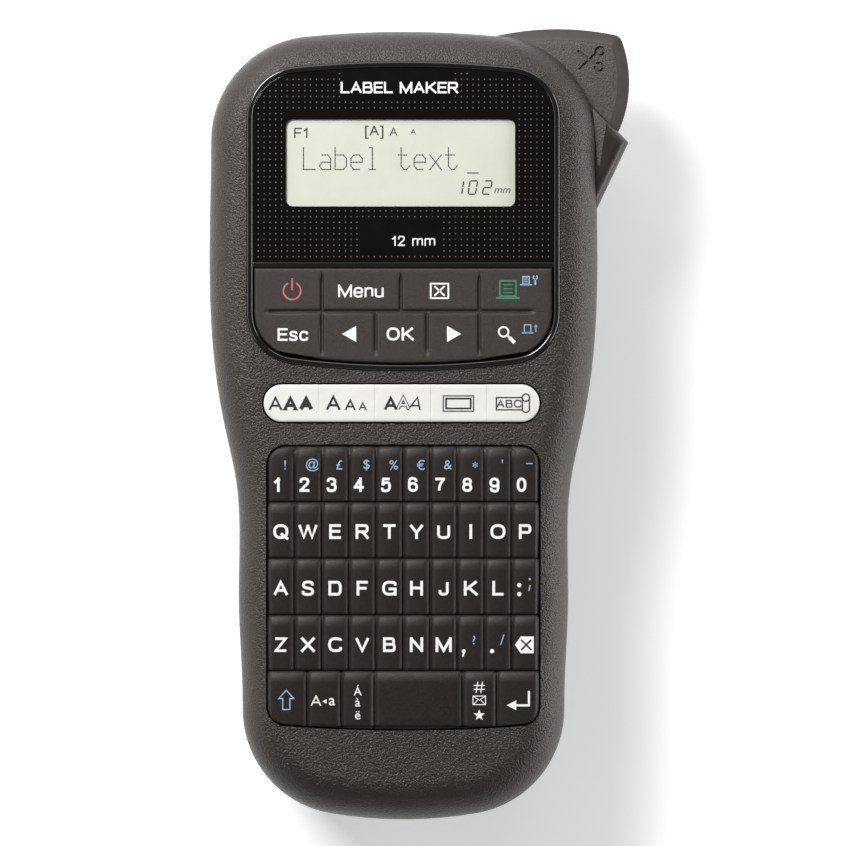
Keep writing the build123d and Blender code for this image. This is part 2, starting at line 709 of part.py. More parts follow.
def build_all():
    make_front_shell()
    make_rear_shell()
    make_back_cover()
    make_guard()
    make_ring()
    make_display()
    make_control_keys()
    make_strip_keys()
    make_board_keys()
    make_boards()
    make_batteries()
    make_jack()
    make_screws()
    make_gears()
    make_motor()
    make_gear_plate()
    make_tape()
    make_cutter()
    make_spring()


def write_all():
    os.makedirs("parts", exist_ok=True)
    for name, shape in parts.items():
        export_step(shape, "parts/" + name + ".step")


build_all()
write_all()
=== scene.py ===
import bpy, bmesh, json, math
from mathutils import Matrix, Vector


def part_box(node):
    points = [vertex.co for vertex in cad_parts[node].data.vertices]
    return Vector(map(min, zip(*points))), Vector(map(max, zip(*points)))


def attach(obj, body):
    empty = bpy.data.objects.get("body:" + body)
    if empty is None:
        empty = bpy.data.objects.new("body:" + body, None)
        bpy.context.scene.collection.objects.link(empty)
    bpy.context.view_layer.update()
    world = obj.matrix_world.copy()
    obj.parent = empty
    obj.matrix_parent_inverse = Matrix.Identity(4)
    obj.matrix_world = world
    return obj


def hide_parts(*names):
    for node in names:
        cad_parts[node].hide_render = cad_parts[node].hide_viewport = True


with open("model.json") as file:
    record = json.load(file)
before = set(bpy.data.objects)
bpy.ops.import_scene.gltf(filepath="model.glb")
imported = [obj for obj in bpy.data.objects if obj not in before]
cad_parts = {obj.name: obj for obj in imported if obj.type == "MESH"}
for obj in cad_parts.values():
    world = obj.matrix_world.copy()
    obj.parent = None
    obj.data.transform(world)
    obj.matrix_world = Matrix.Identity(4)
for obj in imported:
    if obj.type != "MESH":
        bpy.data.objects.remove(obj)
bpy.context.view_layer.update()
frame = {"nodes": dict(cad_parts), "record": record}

mm = 0.001
scene = bpy.context.scene
print("frame loaded:", len(frame["nodes"]), "nodes")

# camera, floor, light

studio = {
    "aim": (0.0050, 0.0003),        # point of the table under the middle of the view
    "height": 1.50,                 # camera above the table
    "viewWidth": 0.2157,            # what the frame takes in at the keys
    "keyHeight": 0.050,
    "floorSize": 3.0,
    "floorTone": (0.90, 0.92, 0.94, 1),
    "worldTone": (1.0, 0.98, 0.96, 1),
    "worldPower": 0.08,
    "floorGlow": 0.38,               # keeps the shadow on the table pale
    "floorZ": -0.0002,
}

softLights = [
    # name, place, size, power, aimed at; none stands where a flat top would mirror it upward
    ("topLeft", (-0.50, 0.62, 0.95), (0.50, 0.40), 15.0, (0, 0.02, 0.04)),
    ("topBank", (0.05, 1.05, 0.55), (1.30, 0.40), 5.0, (0, 0, 0.03)),
    ("leftBank", (-1.00, 0.05, 0.33), (1.30, 0.35), 2.6, (0, 0, 0.03)),
    ("rightBank", (1.00, 0.00, 0.28), (1.30, 0.30), 8.5, (0, 0, 0.03)),
    ("lowBank", (0.10, -1.05, 0.45), (1.30, 0.30), 0.6, (0, 0, 0.03)),
]
lampTone = (1.0, 0.965, 0.93)


def aimAt(obj, target):
    obj.rotation_euler = (Vector(target) - obj.location).to_track_quat("-Z", "Y").to_euler()


def addObject(name, data):
    obj = bpy.data.objects.new(name, data)
    scene.collection.objects.link(obj)
    return obj


def makeStudio():
    camData = bpy.data.cameras.new("mainCamera")
    cam = addObject("mainCamera", camData)
    cam.location = (studio["aim"][0], studio["aim"][1], studio["height"])
    camData.sensor_width = 36
    camData.lens = 36 * (studio["height"] - studio["keyHeight"]) / studio["viewWidth"]
    camData.clip_end = 20
    scene.camera = cam

    for name, place, size, power, target in softLights:
        lamp = bpy.data.lights.new(name, "AREA")
        lamp.shape = "RECTANGLE"
        lamp.size, lamp.size_y = size
        lamp.energy = power
        lamp.color = lampTone
        holder = addObject(name, lamp)
        holder.location = place
        aimAt(holder, target)

    world = bpy.data.worlds.new("studioWorld")
    scene.world = world
    world.use_nodes = True
    back = world.node_tree.nodes["Background"]
    back.inputs["Color"].default_value = studio["worldTone"]
    back.inputs["Strength"].default_value = studio["worldPower"]
    scene.view_settings.view_transform = "Standard"
    scene.view_settings.look = "None"

    half, z = studio["floorSize"] / 2, studio["floorZ"]
    floorMesh = bpy.data.meshes.new("floor")
    corners = [(-half, -half, z), (half, -half, z), (half, half, z), (-half, half, z)]
    floorMesh.from_pydata(corners, [], [(0, 1, 2, 3)])
    floor = addObject("floor", floorMesh)
    mat = bpy.data.materials.new("paleFloor")
    mat.use_nodes = True
    nodes, links = mat.node_tree.nodes, mat.node_tree.links
    shader = nodes["Principled BSDF"]
    shader.inputs["Base Color"].default_value = studio["floorTone"]
    shader.inputs["Roughness"].default_value = 0.6
    shader.inputs["Emission Color"].default_value = studio["floorTone"]
    shader.inputs["Emission Strength"].default_value = studio["floorGlow"]
    # seen from below the floor lets the underside of the object show
    clear = nodes.new("ShaderNodeBsdfTransparent")
    side = nodes.new("ShaderNodeNewGeometry")
    mix = nodes.new("ShaderNodeMixShader")
    links.new(side.outputs["Backfacing"], mix.inputs["Fac"])
    links.new(shader.outputs["BSDF"], mix.inputs[1])
    links.new(clear.outputs["BSDF"], mix.inputs[2])
    links.new(mix.outputs["Shader"], nodes["Material Output"].inputs["Surface"])
    floorMesh.materials.append(mat)


makeStudio()
print("studio made")

# finishes

def look(tone, fleck, mottle, rough, grain, depth, **more):
    return dict(tone=tone, fleck=fleck, mottle=mottle, rough=rough, grain=grain, depth=depth, **more)


def printLook(tone, fleck):
    return look(tone, fleck, mottle=1, rough=(0.45, 0.6), grain=0.2, depth=0.004)


# tone and fleck are the two colours of the surface, mottle the size of the patches between them,
# rough the range of roughness, grain the size of the fine relief and depth its height, sizes in mm
finishes = {
    "shell": look((0.0140, 0.0108, 0.0092), (0.0250, 0.0205, 0.0180),
                  0.5, (0.30, 0.44), 0.46, 0.30, specular=0.6, seam=24.0),
    "cover": look((0.0140, 0.0108, 0.0092), (0.0240, 0.0195, 0.0170),
                  0.5, (0.32, 0.46), 0.46, 0.25, specular=0.5),
    "guard": look((0.018, 0.0150, 0.0135), (0.024, 0.0200, 0.018),
                  3, (0.30, 0.42), 0.25, 0.010, specular=0.5),
    "bezel": look((0.007, 0.007, 0.007), (0.0098, 0.0091, 0.0091), 8, (0.10, 0.18), 1.5, 0.002, coat=0.6),
    "window": look((0.0020, 0.0016, 0.0013), (0.0032, 0.0026, 0.0022),
                   14, (0.07, 0.14), 4, 0.002, coat=0.5),
    "panelDot": look((0.084, 0.0798, 0.0714), (0.1092, 0.105, 0.0966), 1, (0.35, 0.5), 0.3, 0.002),
    "lcd": look((0.59, 0.63, 0.56), (0.63, 0.67, 0.60), 9, (0.45, 0.6), 0.12, 0.002),
    "lcdInk": look((0.018, 0.022, 0.025), (0.030, 0.035, 0.038), 1.5, (0.4, 0.5), 0.3, 0.002),
    "lcdThin": look((0.050, 0.060, 0.064), (0.075, 0.085, 0.090), 1.5, (0.4, 0.5), 0.3, 0.002),
    "keysControl": look((0.025, 0.0205, 0.0180), (0.036, 0.0300, 0.027),
                        0.8, (0.42, 0.55), 0.20, 0.07, specular=0.45),
    "keysStrip": look((0.72, 0.74, 0.73), (0.76, 0.78, 0.77), 6, (0.35, 0.48), 0.3, 0.006),
    "keysBoard": look((0.0085, 0.0065, 0.0055), (0.0150, 0.0120, 0.0105),
                      0.9, (0.40, 0.56), 0.22, 0.06, specular=0.42),
    "printWhite": printLook((0.88, 0.90, 0.91), (0.93, 0.94, 0.95)),
    "printBlue": printLook((0.26, 0.45, 0.64), (0.32, 0.50, 0.68)),
    "printPink": printLook((0.4836, 0.124, 0.155), (0.5208, 0.1674, 0.1922)),
    "printGreen": printLook((0.022, 0.198, 0.1045), (0.033, 0.2365, 0.132)),
    "printBlack": printLook((0.012, 0.012, 0.012), (0.020, 0.020, 0.020)),
    "leverFace": look((0.048, 0.043, 0.040), (0.078, 0.071, 0.066),
                      0.45, (0.40, 0.52), 0.40, 0.20, specular=0.6),
    "leverRim": look((0.056, 0.052, 0.049), (0.066, 0.062, 0.058), 3, (0.26, 0.36), 0.2, 0.004),
    "lcd_frame": look((0.60, 0.60, 0.57), (0.66, 0.66, 0.63), 4, (0.4, 0.5), 0.3, 0.01),
    "flex": look((0.30, 0.11, 0.02), (0.42, 0.17, 0.03), 1.2, (0.2, 0.3), 0.5, 0.004),
    "rubber_sheet": look((0.05, 0.05, 0.052), (0.07, 0.07, 0.072), 2, (0.6, 0.7), 0.3, 0.02),
    "board": look((0.010, 0.10, 0.035), (0.018, 0.15, 0.055), 1.4, (0.25, 0.38), 0.7, 0.02),
    "chips": look((0.012, 0.012, 0.013), (0.024, 0.024, 0.025), 1, (0.45, 0.6), 0.2, 0.01),
    "cells": look((0.015, 0.035, 0.075), (0.30, 0.20, 0.05), 18, (0.18, 0.3), 2, 0.01, metal=0.5),
    "contacts": look((0.55, 0.54, 0.50), (0.66, 0.65, 0.61), 1, (0.2, 0.35), 0.5, 0.01, metal=1),
    "jack": look((0.012, 0.012, 0.012), (0.02, 0.02, 0.02), 2, (0.3, 0.45), 0.3, 0.01),
    "screws": look((0.30, 0.30, 0.31), (0.42, 0.42, 0.43), 0.8, (0.25, 0.4), 0.3, 0.01, metal=1),
    "motor": look((0.48, 0.48, 0.50), (0.58, 0.58, 0.60), 3, (0.22, 0.36), 0.4, 0.006, metal=1),
    "plate": look((0.030, 0.029, 0.028), (0.042, 0.041, 0.040), 2, (0.45, 0.6), 0.4, 0.02),
    "gears": look((0.70, 0.69, 0.62), (0.76, 0.75, 0.69), 3, (0.32, 0.45), 0.4, 0.008),
    "brass": look((0.60, 0.40, 0.14), (0.70, 0.49, 0.20), 1, (0.2, 0.32), 0.3, 0.006, metal=1),
    "head": look((0.55, 0.52, 0.45), (0.62, 0.59, 0.52), 2, (0.15, 0.3), 0.4, 0.004),
    "heat_sink": look((0.58, 0.58, 0.60), (0.70, 0.70, 0.72), 1.5, (0.28, 0.42), 0.3, 0.01, metal=1),
    "cassette": look((0.20, 0.20, 0.20), (0.25, 0.25, 0.25), 4, (0.35, 0.5), 0.4, 0.015),
    "tape": look((0.78, 0.78, 0.75), (0.84, 0.84, 0.82), 3, (0.25, 0.4), 0.3, 0.004),
    "roller": look((0.018, 0.018, 0.018), (0.03, 0.03, 0.03), 1, (0.6, 0.75), 0.15, 0.01),
    "pin": look((0.50, 0.50, 0.51), (0.60, 0.60, 0.61), 1, (0.18, 0.28), 0.2, 0.004, metal=1),
    "spring": look((0.34, 0.34, 0.35), (0.46, 0.46, 0.47), 0.6, (0.2, 0.34), 0.2, 0.004, metal=1),
    "blade": look((0.62, 0.63, 0.65), (0.74, 0.75, 0.77), 0.8, (0.14, 0.26), 0.15, 0.004, metal=1),
    "carriage": look((0.62, 0.62, 0.58), (0.68, 0.68, 0.65), 3, (0.35, 0.5), 0.4, 0.008),
}


def addNode(mat, kind, **values):
    node = mat.node_tree.nodes.new(kind)
    for name, value in values.items():
        node.inputs[name].default_value = value
    return node


def mapRange(mat, source, low, high):
    # spreads a noise value over the given range
    node = addNode(mat, "ShaderNodeMapRange")
    node.inputs["From Min"].default_value = 0.3
    node.inputs["From Max"].default_value = 0.7
    node.inputs["To Min"].default_value = low
    node.inputs["To Max"].default_value = high
    mat.node_tree.links.new(source, node.inputs["Value"])
    return node.outputs["Result"]


def addSeam(mat, place, level, bump, blend, shader):
    # fine dark groove round the casing where its two shells meet
    links = mat.node_tree.links
    split = addNode(mat, "ShaderNodeSeparateXYZ")
    links.new(place, split.inputs["Vector"])
    away = mat.node_tree.nodes.new("ShaderNodeMath")
    away.operation = "SUBTRACT"
    away.inputs[1].default_value = level * mm
    links.new(split.outputs["Z"], away.inputs[0])
    size = mat.node_tree.nodes.new("ShaderNodeMath")
    size.operation = "ABSOLUTE"
    links.new(away.outputs["Value"], size.inputs[0])
    clear = addNode(mat, "ShaderNodeMapRange")
    clear.inputs["From Min"].default_value = 0.10 * mm
    clear.inputs["From Max"].default_value = 0.28 * mm
    links.new(size.outputs["Value"], clear.inputs["Value"])
    groove = addNode(mat, "ShaderNodeBump", Strength=1.0, Distance=0.3 * mm)
    links.new(clear.outputs["Result"], groove.inputs["Height"])
    links.new(groove.outputs["Normal"], bump.inputs["Normal"])
    dark = mat.node_tree.nodes.new("ShaderNodeMix")
    dark.data_type = "RGBA"
    dark.inputs["A"].default_value = (0.002, 0.002, 0.002, 1)
    links.new(blend.outputs["Result"], dark.inputs["B"])
    links.new(clear.outputs["Result"], dark.inputs["Factor"])
    links.new(dark.outputs["Result"], shader.inputs["Base Color"])


def makeFinish(name, look):
    mat = bpy.data.materials.new(name + "Finish")
    mat.use_nodes = True
    links = mat.node_tree.links
    shader = mat.node_tree.nodes["Principled BSDF"]
    place = addNode(mat, "ShaderNodeTexCoord").outputs["Object"]

    patches = addNode(mat, "ShaderNodeTexNoise", Scale=1 / (look["mottle"] * mm), Detail=3.0, Roughness=0.6)
    links.new(place, patches.inputs["Vector"])
    blend = addNode(mat, "ShaderNodeMix")
    blend.data_type = "RGBA"
    blend.inputs["A"].default_value = (*look["tone"], 1)
    blend.inputs["B"].default_value = (*look["fleck"], 1)
    links.new(mapRange(mat, patches.outputs["Fac"], 0, 1), blend.inputs["Factor"])
    links.new(blend.outputs["Result"], shader.inputs["Base Color"])

    relief = addNode(mat, "ShaderNodeTexNoise", Scale=1 / (look["grain"] * mm), Detail=2.0, Roughness=0.55)
    links.new(place, relief.inputs["Vector"])
    bump = addNode(mat, "ShaderNodeBump", Strength=1.0, Distance=look["depth"] * mm)
    links.new(relief.outputs["Fac"], bump.inputs["Height"])
    if "seam" in look:
        addSeam(mat, place, look["seam"], bump, blend, shader)
    links.new(bump.outputs["Normal"], shader.inputs["Normal"])
    links.new(mapRange(mat, relief.outputs["Fac"], *look["rough"]), shader.inputs["Roughness"])

    shader.inputs["Metallic"].default_value = look.get("metal", 0)
    shader.inputs["Specular IOR Level"].default_value = look.get("specular", 0.5)
    shader.inputs["Coat Weight"].default_value = look.get("coat", 0)
    shader.inputs["Coat Roughness"].default_value = 0.06
    return mat


finish = {name: makeFinish(name, look) for name, look in finishes.items()}
print("finishes made:", len(finish))


def wearCadNodes():
    # every carried-over node takes the finish of its slot in the record
    slotFinish = {"keys_control": "keysControl", "keys_strip": "keysStrip", "keys_board": "keysBoard",
                  "lever": "leverFace"}
    for part in frame["record"]["subparts"]:
        slot = part["material_slot"]
        mat = finish[slotFinish.get(slot, slot)]
        for holder in frame["nodes"][part["node"]].material_slots:
            holder.material = mat


wearCadNodes()

# mesh helpers, all in millimetres until the piece is made


def boxOf(node):
    low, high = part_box(node)
    return [v / mm for v in low], [v / mm for v in high]


def finishPiece(obj, body, nodes=(), mats=(), smoothAngle=35):
    # every piece rides on its body and stands for its CAD nodes
    for mat in mats:
        obj.data.materials.append(finish[mat])
    if smoothAngle:
        obj.data.shade_smooth()
        obj.data.set_sharp_from_angle(angle=math.radians(smoothAngle))
    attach(obj, body)
    if nodes:
        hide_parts(*nodes)
    return obj


def newPiece(name, verts, faces):
    mesh = bpy.data.meshes.new(name)
    mesh.from_pydata([(x * mm, y * mm, z * mm) for x, y, z in verts], [], faces)
    mesh.validate()
    mesh.update()
    return addObject(name, mesh)


def shownMesh(obj):
    # the mesh of an object with its modifiers or its curve settings worked out
    bpy.context.view_layer.update()
    return bpy.data.meshes.new_from_object(obj.evaluated_get(bpy.context.evaluated_depsgraph_get()))


def meshFromCurve(curve, name):
    holder = addObject(name + "Curve", curve)
    mesh = shownMesh(holder)
    bpy.data.objects.remove(holder)
    return mesh


def arcPoints(cx, cy, r, start, end, steps):
    return [(cx + r * math.cos(math.radians(start + (end - start) * k / steps)),
             cy + r * math.sin(math.radians(start + (end - start) * k / steps))) for k in range(steps + 1)]


def circleLoop(x, y, r, steps):
    return arcPoints(x, y, r, 0, 360, steps)[:-1]


def roundLoop(x0, x1, y0, y1, r, steps=10):
    corners = ((x1 - r, y1 - r, 0), (x0 + r, y1 - r, 90), (x0 + r, y0 + r, 180), (x1 - r, y0 + r, 270))
    return [p for cx, cy, start in corners for p in arcPoints(cx, cy, r, start, start + 90, steps)]


def bowedLoop(halfX, lowY, highY, r, lowRise, highRise, steps=14):
    # rounded field whose two ends bulge, drawn anticlockwise from the right side
    cx = halfX - r
    points = []
    for endY, rise, way in ((highY, highRise, 1), (lowY, lowRise, -1)):
        reach = (cx * cx + rise * rise) / (2 * rise)
        turn = math.degrees(math.asin(cx / reach))
        cy = endY - way * (rise + r)
        first = arcPoints(cx, cy, r, 0, way * (90 - turn), steps)
        bowPart = arcPoints(0, endY - way * (reach + r), reach + r, way * (90 - turn), way * 90, steps)[1:]
        half = first + bowPart
        whole = half + [(-x, y) for x, y in reversed(half[:-1])]
        points += whole if way > 0 else list(reversed(whole))
    return points


def flatCurve(name, loops):
    # filled outlines, where inner loops are holes
    curve = bpy.data.curves.new(name, "CURVE")
    curve.dimensions = "2D"
    curve.fill_mode = "BOTH"
    for loop in loops:
        spline = curve.splines.new("POLY")
        spline.points.add(len(loop) - 1)
        for point, (x, y) in zip(spline.points, loop):
            point.co = (x, y, 0, 1)
        spline.use_cyclic_u = True
    return curve


def plate(name, loops, lowZ, highZ, bevel=0.0, bevelSteps=3):
    # flat plate with holes from closed loops, its edges rounded by a bevel
    curve = flatCurve(name, loops)
    curve.offset = -bevel
    curve.bevel_depth = bevel
    curve.bevel_resolution = bevelSteps
    curve.extrude = (highZ - lowZ) / 2 - bevel
    mesh = meshFromCurve(curve, name)
    for v in mesh.vertices:
        v.co = (v.co.x * mm, v.co.y * mm, (v.co.z + (lowZ + highZ) / 2) * mm)
    obj = addObject(name, mesh)
    weldPiece(obj)
    return obj


def weldPiece(obj, gap=0.002):
    work = bmesh.new()
    work.from_mesh(obj.data)
    bmesh.ops.remove_doubles(work, verts=work.verts, dist=gap * mm)
    bmesh.ops.recalc_face_normals(work, faces=work.faces)
    work.to_mesh(obj.data)
    work.free()


def sweptLoop(name, section, outline):
    # closed ring that carries a section, given as inset and height, round an outline
    verts = [(x, y, z) for inset, z in section for x, y in outline(inset)]
    around, count = len(section), len(verts) // len(section)
    faces = []
    for s in range(around):
        here, after = s * count, (s + 1) % around * count
        faces += [(here + k, here + (k + 1) % count, after + (k + 1) % count, after + k)
                  for k in range(count)]
    obj = newPiece(name, verts, faces)
    weldPiece(obj)
    return obj


def joinPieces(name, objs):
    # one object from several, each keeping its own finish
    first = objs[0]
    if len(objs) > 1:
        with bpy.context.temp_override(active_object=first, selected_editable_objects=objs, object=first,
                                       selected_objects=objs):
            bpy.ops.object.join()
    first.name = name
    first.data.name = name
    return first


# key tops: a fine grid lifted by a height rule, closed below

def gridLines(low, high, pitch, fine=(0.06, 0.16, 0.32, 0.55, 0.85, 1.25)):
    # lines close together at both ends and evenly spread between
    reach = fine[-1]
    count = max(2, round((high - low - 2 * reach) / pitch))
    middle = [low + reach + (high - low - 2 * reach) * k / count for k in range(1, count)]
    near = [low] + [low + f for f in fine]
    far = [high - f for f in reversed(fine)] + [high]
    return near + middle + far


def fieldEdge(field, y, side):
    # how far the field reaches to one side at a height, None where it isn't limited by a corner
    halfX, lowY, highY, r, lowRise, highRise = field
    for endY, rise, way in ((highY, highRise, 1), (lowY, lowRise, -1)):
        cy = endY - way * (rise + r)
        if way * (y - cy) > 0:
            span = min(r, abs(y - cy))
            return side * (halfX - r + math.sqrt(max(0.0, r * r - span * span)))
    return side * halfX


def fieldEnd(field, x, way):
    # the bulging end of the field above or below a point
    halfX, lowY, highY, r, lowRise, highRise = field
    endY, rise = (highY, highRise) if way > 0 else (lowY, lowRise)
    cx = halfX - r
    reach = (cx * cx + rise * rise) / (2 * rise) + r
    return endY - way * (reach - math.sqrt(max(0.0, reach * reach - x * x)))


def keyMesh(name, cell, topZ, lowZ, height, field=None, pitch=0.7, atEnd=(False, False), extraX=()):
    # cell holds the limits in x and y, height says how far the top is below topZ
    x0, x1, y0, y1 = cell
    xs = sorted(set(gridLines(x0, x1, pitch)) | set(extraX))
    ys = gridLines(y0, y1, pitch)
    verts, index = [], {}
    for j, y in enumerate(ys):
        for i, x in enumerate(xs):
            px, py = x, y
            if field:
                if atEnd[0]:
                    low = fieldEnd(field, x, -1)
                    py = low + (y - y0) * (y1 - low) / (y1 - y0)
                if atEnd[1]:
                    high = fieldEnd(field, x, 1)
                    py = y0 + (y - y0) * (high - y0) / (y1 - y0)
                left, right = fieldEdge(field, py, -1), fieldEdge(field, py, 1)
                newLow, newHigh = max(x0, left), min(x1, right)
                if newLow > x0 or newHigh < x1:
                    px = newLow + (x - x0) * (newHigh - newLow) / (x1 - x0)
            index[i, j] = len(verts)
            verts.append((px, py, topZ - height(px, py)))
    nx, ny = len(xs), len(ys)
    faces = [(index[i, j], index[i + 1, j], index[i + 1, j + 1], index[i, j + 1])
             for j in range(ny - 1) for i in range(nx - 1)]
    rim = [index[i, 0] for i in range(nx)] + [index[nx - 1, j] for j in range(1, ny)]
    rim += [index[i, ny - 1] for i in range(nx - 2, -1, -1)] + [index[0, j] for j in range(ny - 2, 0, -1)]
    low = []
    for v in rim:
        low.append(len(verts))
        verts.append((verts[v][0], verts[v][1], lowZ))
    for k in range(len(rim)):
        after = (k + 1) % len(rim)
        faces.append((rim[k], low[k], low[after], rim[after]))
    faces.append(tuple(reversed(low)))
    return newPiece(name, verts, faces)


def roundDrop(distance, reach, drop):
    # quarter round at an edge, as a drop below the top
    if distance >= reach:
        return 0.0
    t = 1 - max(distance, 0.0) / reach
    return drop * (1 - math.sqrt(max(0.0, 1 - t * t)))


def grooveDrop(x, y, grooves, width, depth):
    # engraved channels with round ends, a steep side and a flat floor
    deepest = 0.0
    for ax, ay, bx, by in grooves:
        length2 = (bx - ax) ** 2 + (by - ay) ** 2
        t = max(0.0, min(1.0, ((x - ax) * (bx - ax) + (y - ay) * (by - ay)) / length2))
        away = math.hypot(x - ax - t * (bx - ax), y - ay - t * (by - ay))
        edge = (width / 2 - away) / (width * 0.30)
        if edge > 0:
            edge = min(1.0, edge)
            deepest = max(deepest, depth * edge * edge * (3 - 2 * edge))
    return deepest


# printing: letters and signs as thin solid slabs laid on a surface

printing = {
    "half": 0.05,       # half the thickness a sign is drawn with before it is laid down
    "sink": 0.08,       # how deep its underside goes into the surface
    "longest": 0.9,     # longest edge left, so that wide signs follow a curved top
    "capital": 0.73,    # height of a capital in the built-in font, as a share of its size
}


def layOn(name, mesh, surface, proud, mat):
    # split finely so that it follows the surface; tops stand just proud, the rest goes into it
    work = bmesh.new()
    work.from_mesh(mesh)
    bmesh.ops.remove_doubles(work, verts=work.verts, dist=0.002)
    bmesh.ops.triangulate(work, faces=work.faces)
    for _ in range(3):
        longEdges = [e for e in work.edges if e.calc_length() > printing["longest"]]
        bmesh.ops.subdivide_edges(work, edges=longEdges, cuts=1)
        bmesh.ops.triangulate(work, faces=[f for f in work.faces if len(f.verts) > 3])
    for v in work.verts:
        z = surface(v.co.x, v.co.y) + (proud if v.co.z > 0 else -printing["sink"])
        v.co = (v.co.x * mm, v.co.y * mm, z * mm)
    work.to_mesh(mesh)
    work.free()
    mesh.materials.append(finish[mat])
    return addObject(name, mesh)


def letter(text, x, y, height, surface, mat, bold=0.0, slant=0.0, stretch=1.0, space=1.0, proud=0.03):
    # height is that of a capital; x and y are the middle of the printed shape
    font = bpy.data.curves.new("letter", "FONT")
    font.body = text
    font.size = height / printing["capital"]
    font.offset = bold * height
    font.shear = slant
    font.space_character = space
    font.extrude = printing["half"]
    font.resolution_u = 4
    mesh = meshFromCurve(font, "letter")
    xs = [v.co.x for v in mesh.vertices]
    ys = [v.co.y for v in mesh.vertices]
    midX, midY = (min(xs) + max(xs)) / 2, (min(ys) + max(ys)) / 2
    for v in mesh.vertices:
        v.co = ((v.co.x - midX) * stretch + x, v.co.y - midY + y, v.co.z)
    return layOn("letter", mesh, surface, proud, mat)


def sign(loops, surface, mat, proud=0.03):
    # flat sign from closed loops, inner loops are holes
    curve = flatCurve("sign", loops)
    curve.extrude = printing["half"]
    return layOn("sign", meshFromCurve(curve, "sign"), surface, proud, mat)


# centre lines of the strokes in a unit box one capital high: L straight, C curved, O closed and curved
strokeShapes = {
    "A": (0.98, "L 0,0 .5,1 1,0|L .2,.32 .8,.32"),
    "B": (0.86, "L 0,0 0,1|C 0,1 .55,1 .92,1 .92,.53 .55,.53 0,.53|C 0,.53 .6,.53 1,.53 1,0 .6,0 0,0"),
    "C": (0.94, "C 1,.7 1,1 0,1 0,0 1,0 1,.3"),
    "D": (0.90, "L 0,0 0,1|C 0,1 .45,1 1,1 1,0 .45,0 0,0"),
    "E": (0.80, "L 1,1 0,1 0,0 1,0|L 0,.52 .92,.52"),
    "F": (0.76, "L 1,1 0,1 0,0|L 0,.5 .86,.5"),
    "G": (0.98, "C 1,.72 1,1 0,1 0,0 1,0 1,.46|L .55,.44 1,.44|L 1,.44 1,0"),
    "H": (0.88, "L 0,0 0,1|L 1,0 1,1|L 0,.52 1,.52"),
    "I": (0.20, "L .5,0 .5,1"),
    "J": (0.68, "C 1,1 1,.5 1,0 0,0 0,.34"),
    "K": (0.94, "L 0,0 0,1|L 0,.34 .92,1|L .3,.56 1,0"),
    "L": (0.76, "L 0,1 0,0 1,0"),
    "M": (1.10, "L 0,0 0,1|L 1,0 1,1|L .02,.97 .5,.02 .98,.97"),
    "N": (0.90, "L 0,0 0,1|L 1,0 1,1|L .02,.98 .98,.02"),
    "O": (1.02, "O 0,0 1,0 1,1 0,1"),
    "P": (0.84, "L 0,0 0,1|C 0,1 .55,1 1,1 1,.43 .55,.43 0,.43"),
    "Q": (1.02, "O 0,0 1,0 1,1 0,1|L .6,.26 1,-.06"),
    "R": (0.90, "L 0,0 0,1|C 0,1 .55,1 .98,1 .98,.48 .55,.48 0,.48|L .55,.46 1,0"),
    "S": (0.84, "C .95,.74 .95,1.02 .05,1.02 .02,.55 .98,.47 1,-.02 0,-.02 0,.28"),
    "T": (0.84, "L 0,1 1,1|L .5,1 .5,0"),
    "U": (0.88, "C 0,1 0,.5 0,0 1,0 1,.5 1,1"),
    "V": (0.94, "L 0,1 .5,0 1,1"),
    "W": (1.30, "L 0,1 .25,0 .5,1|L .5,1 .75,0 1,1"),
    "X": (0.94, "L 0,0 1,1|L 0,1 1,0"),
    "Y": (0.94, "L 0,1 .5,.42 1,1|L .5,.44 .5,0"),
    "Z": (0.84, "L 0,1 1,1 0,0 1,0"),
    "0": (0.68, "O 0,0 1,0 1,1 0,1"),
    "1": (0.44, "L .8,0 .8,1|L .85,.94 0,.74"),
    "2": (0.70, "C .02,.68 .02,1.02 .98,1.02 1,.62 .5,.36 .06,.04|L 0,0 1,0"),
    "3": (0.70, "C .04,.74 .05,1.02 .95,1.02 .95,.54 .42,.54|C .42,.54 1.02,.54 1.02,-.02 .02,-.02 0,.27"),
    "4": (0.72, "L .74,0 .74,1|L .68,.98 .04,.3|L .02,.28 1,.28"),
    "5": (0.70, "L .92,1 .16,1 .08,.5|C .08,.48 .3,.66 1.02,.72 1.02,-.02 .04,-.04 0,.25"),
    "6": (0.70, "C .95,.76 .9,1.02 0,1.1 0,.3|O 0,0 1,0 1,.62 0,.62"),
    "7": (0.68, "L 0,1 1,1|C 1,.98 .46,.5 .34,0"),
    "8": (0.70, "O .05,.54 .95,.54 .95,1 .05,1|O 0,0 1,0 1,.54 0,.54"),
    "9": (0.70, "C .05,.24 .1,-.02 1,-.1 1,.7|O 0,.38 1,.38 1,1 0,1"),
    "e": (0.76, "L .05,.35 .95,.35|C .98,.33 1,.78 0,.78 0,-.04 .92,-.04 .95,.16"),
    "n": (0.70, "L 0,0 0,.72|C 0,.4 .05,.73 1,.77 1,.4 1,0"),
    "u": (0.70, "C 0,.72 0,.35 0,-.04 .95,-.04 1,.35|L 1,.72 1,0"),
    "s": (0.68, "C .93,.54 .93,.75 .05,.75 .03,.41 .97,.33 1,-.02 0,-.02 0,.2"),
    "c": (0.70, "C 1,.5 1,.75 0,.75 0,-.02 1,-.02 1,.23"),
    "m": (1.08, "L 0,0 0,.72|C 0,.4 .02,.74 .5,.77 .5,.4 .5,0|C .5,.4 .52,.74 1,.77 1,.4 1,0"),
}


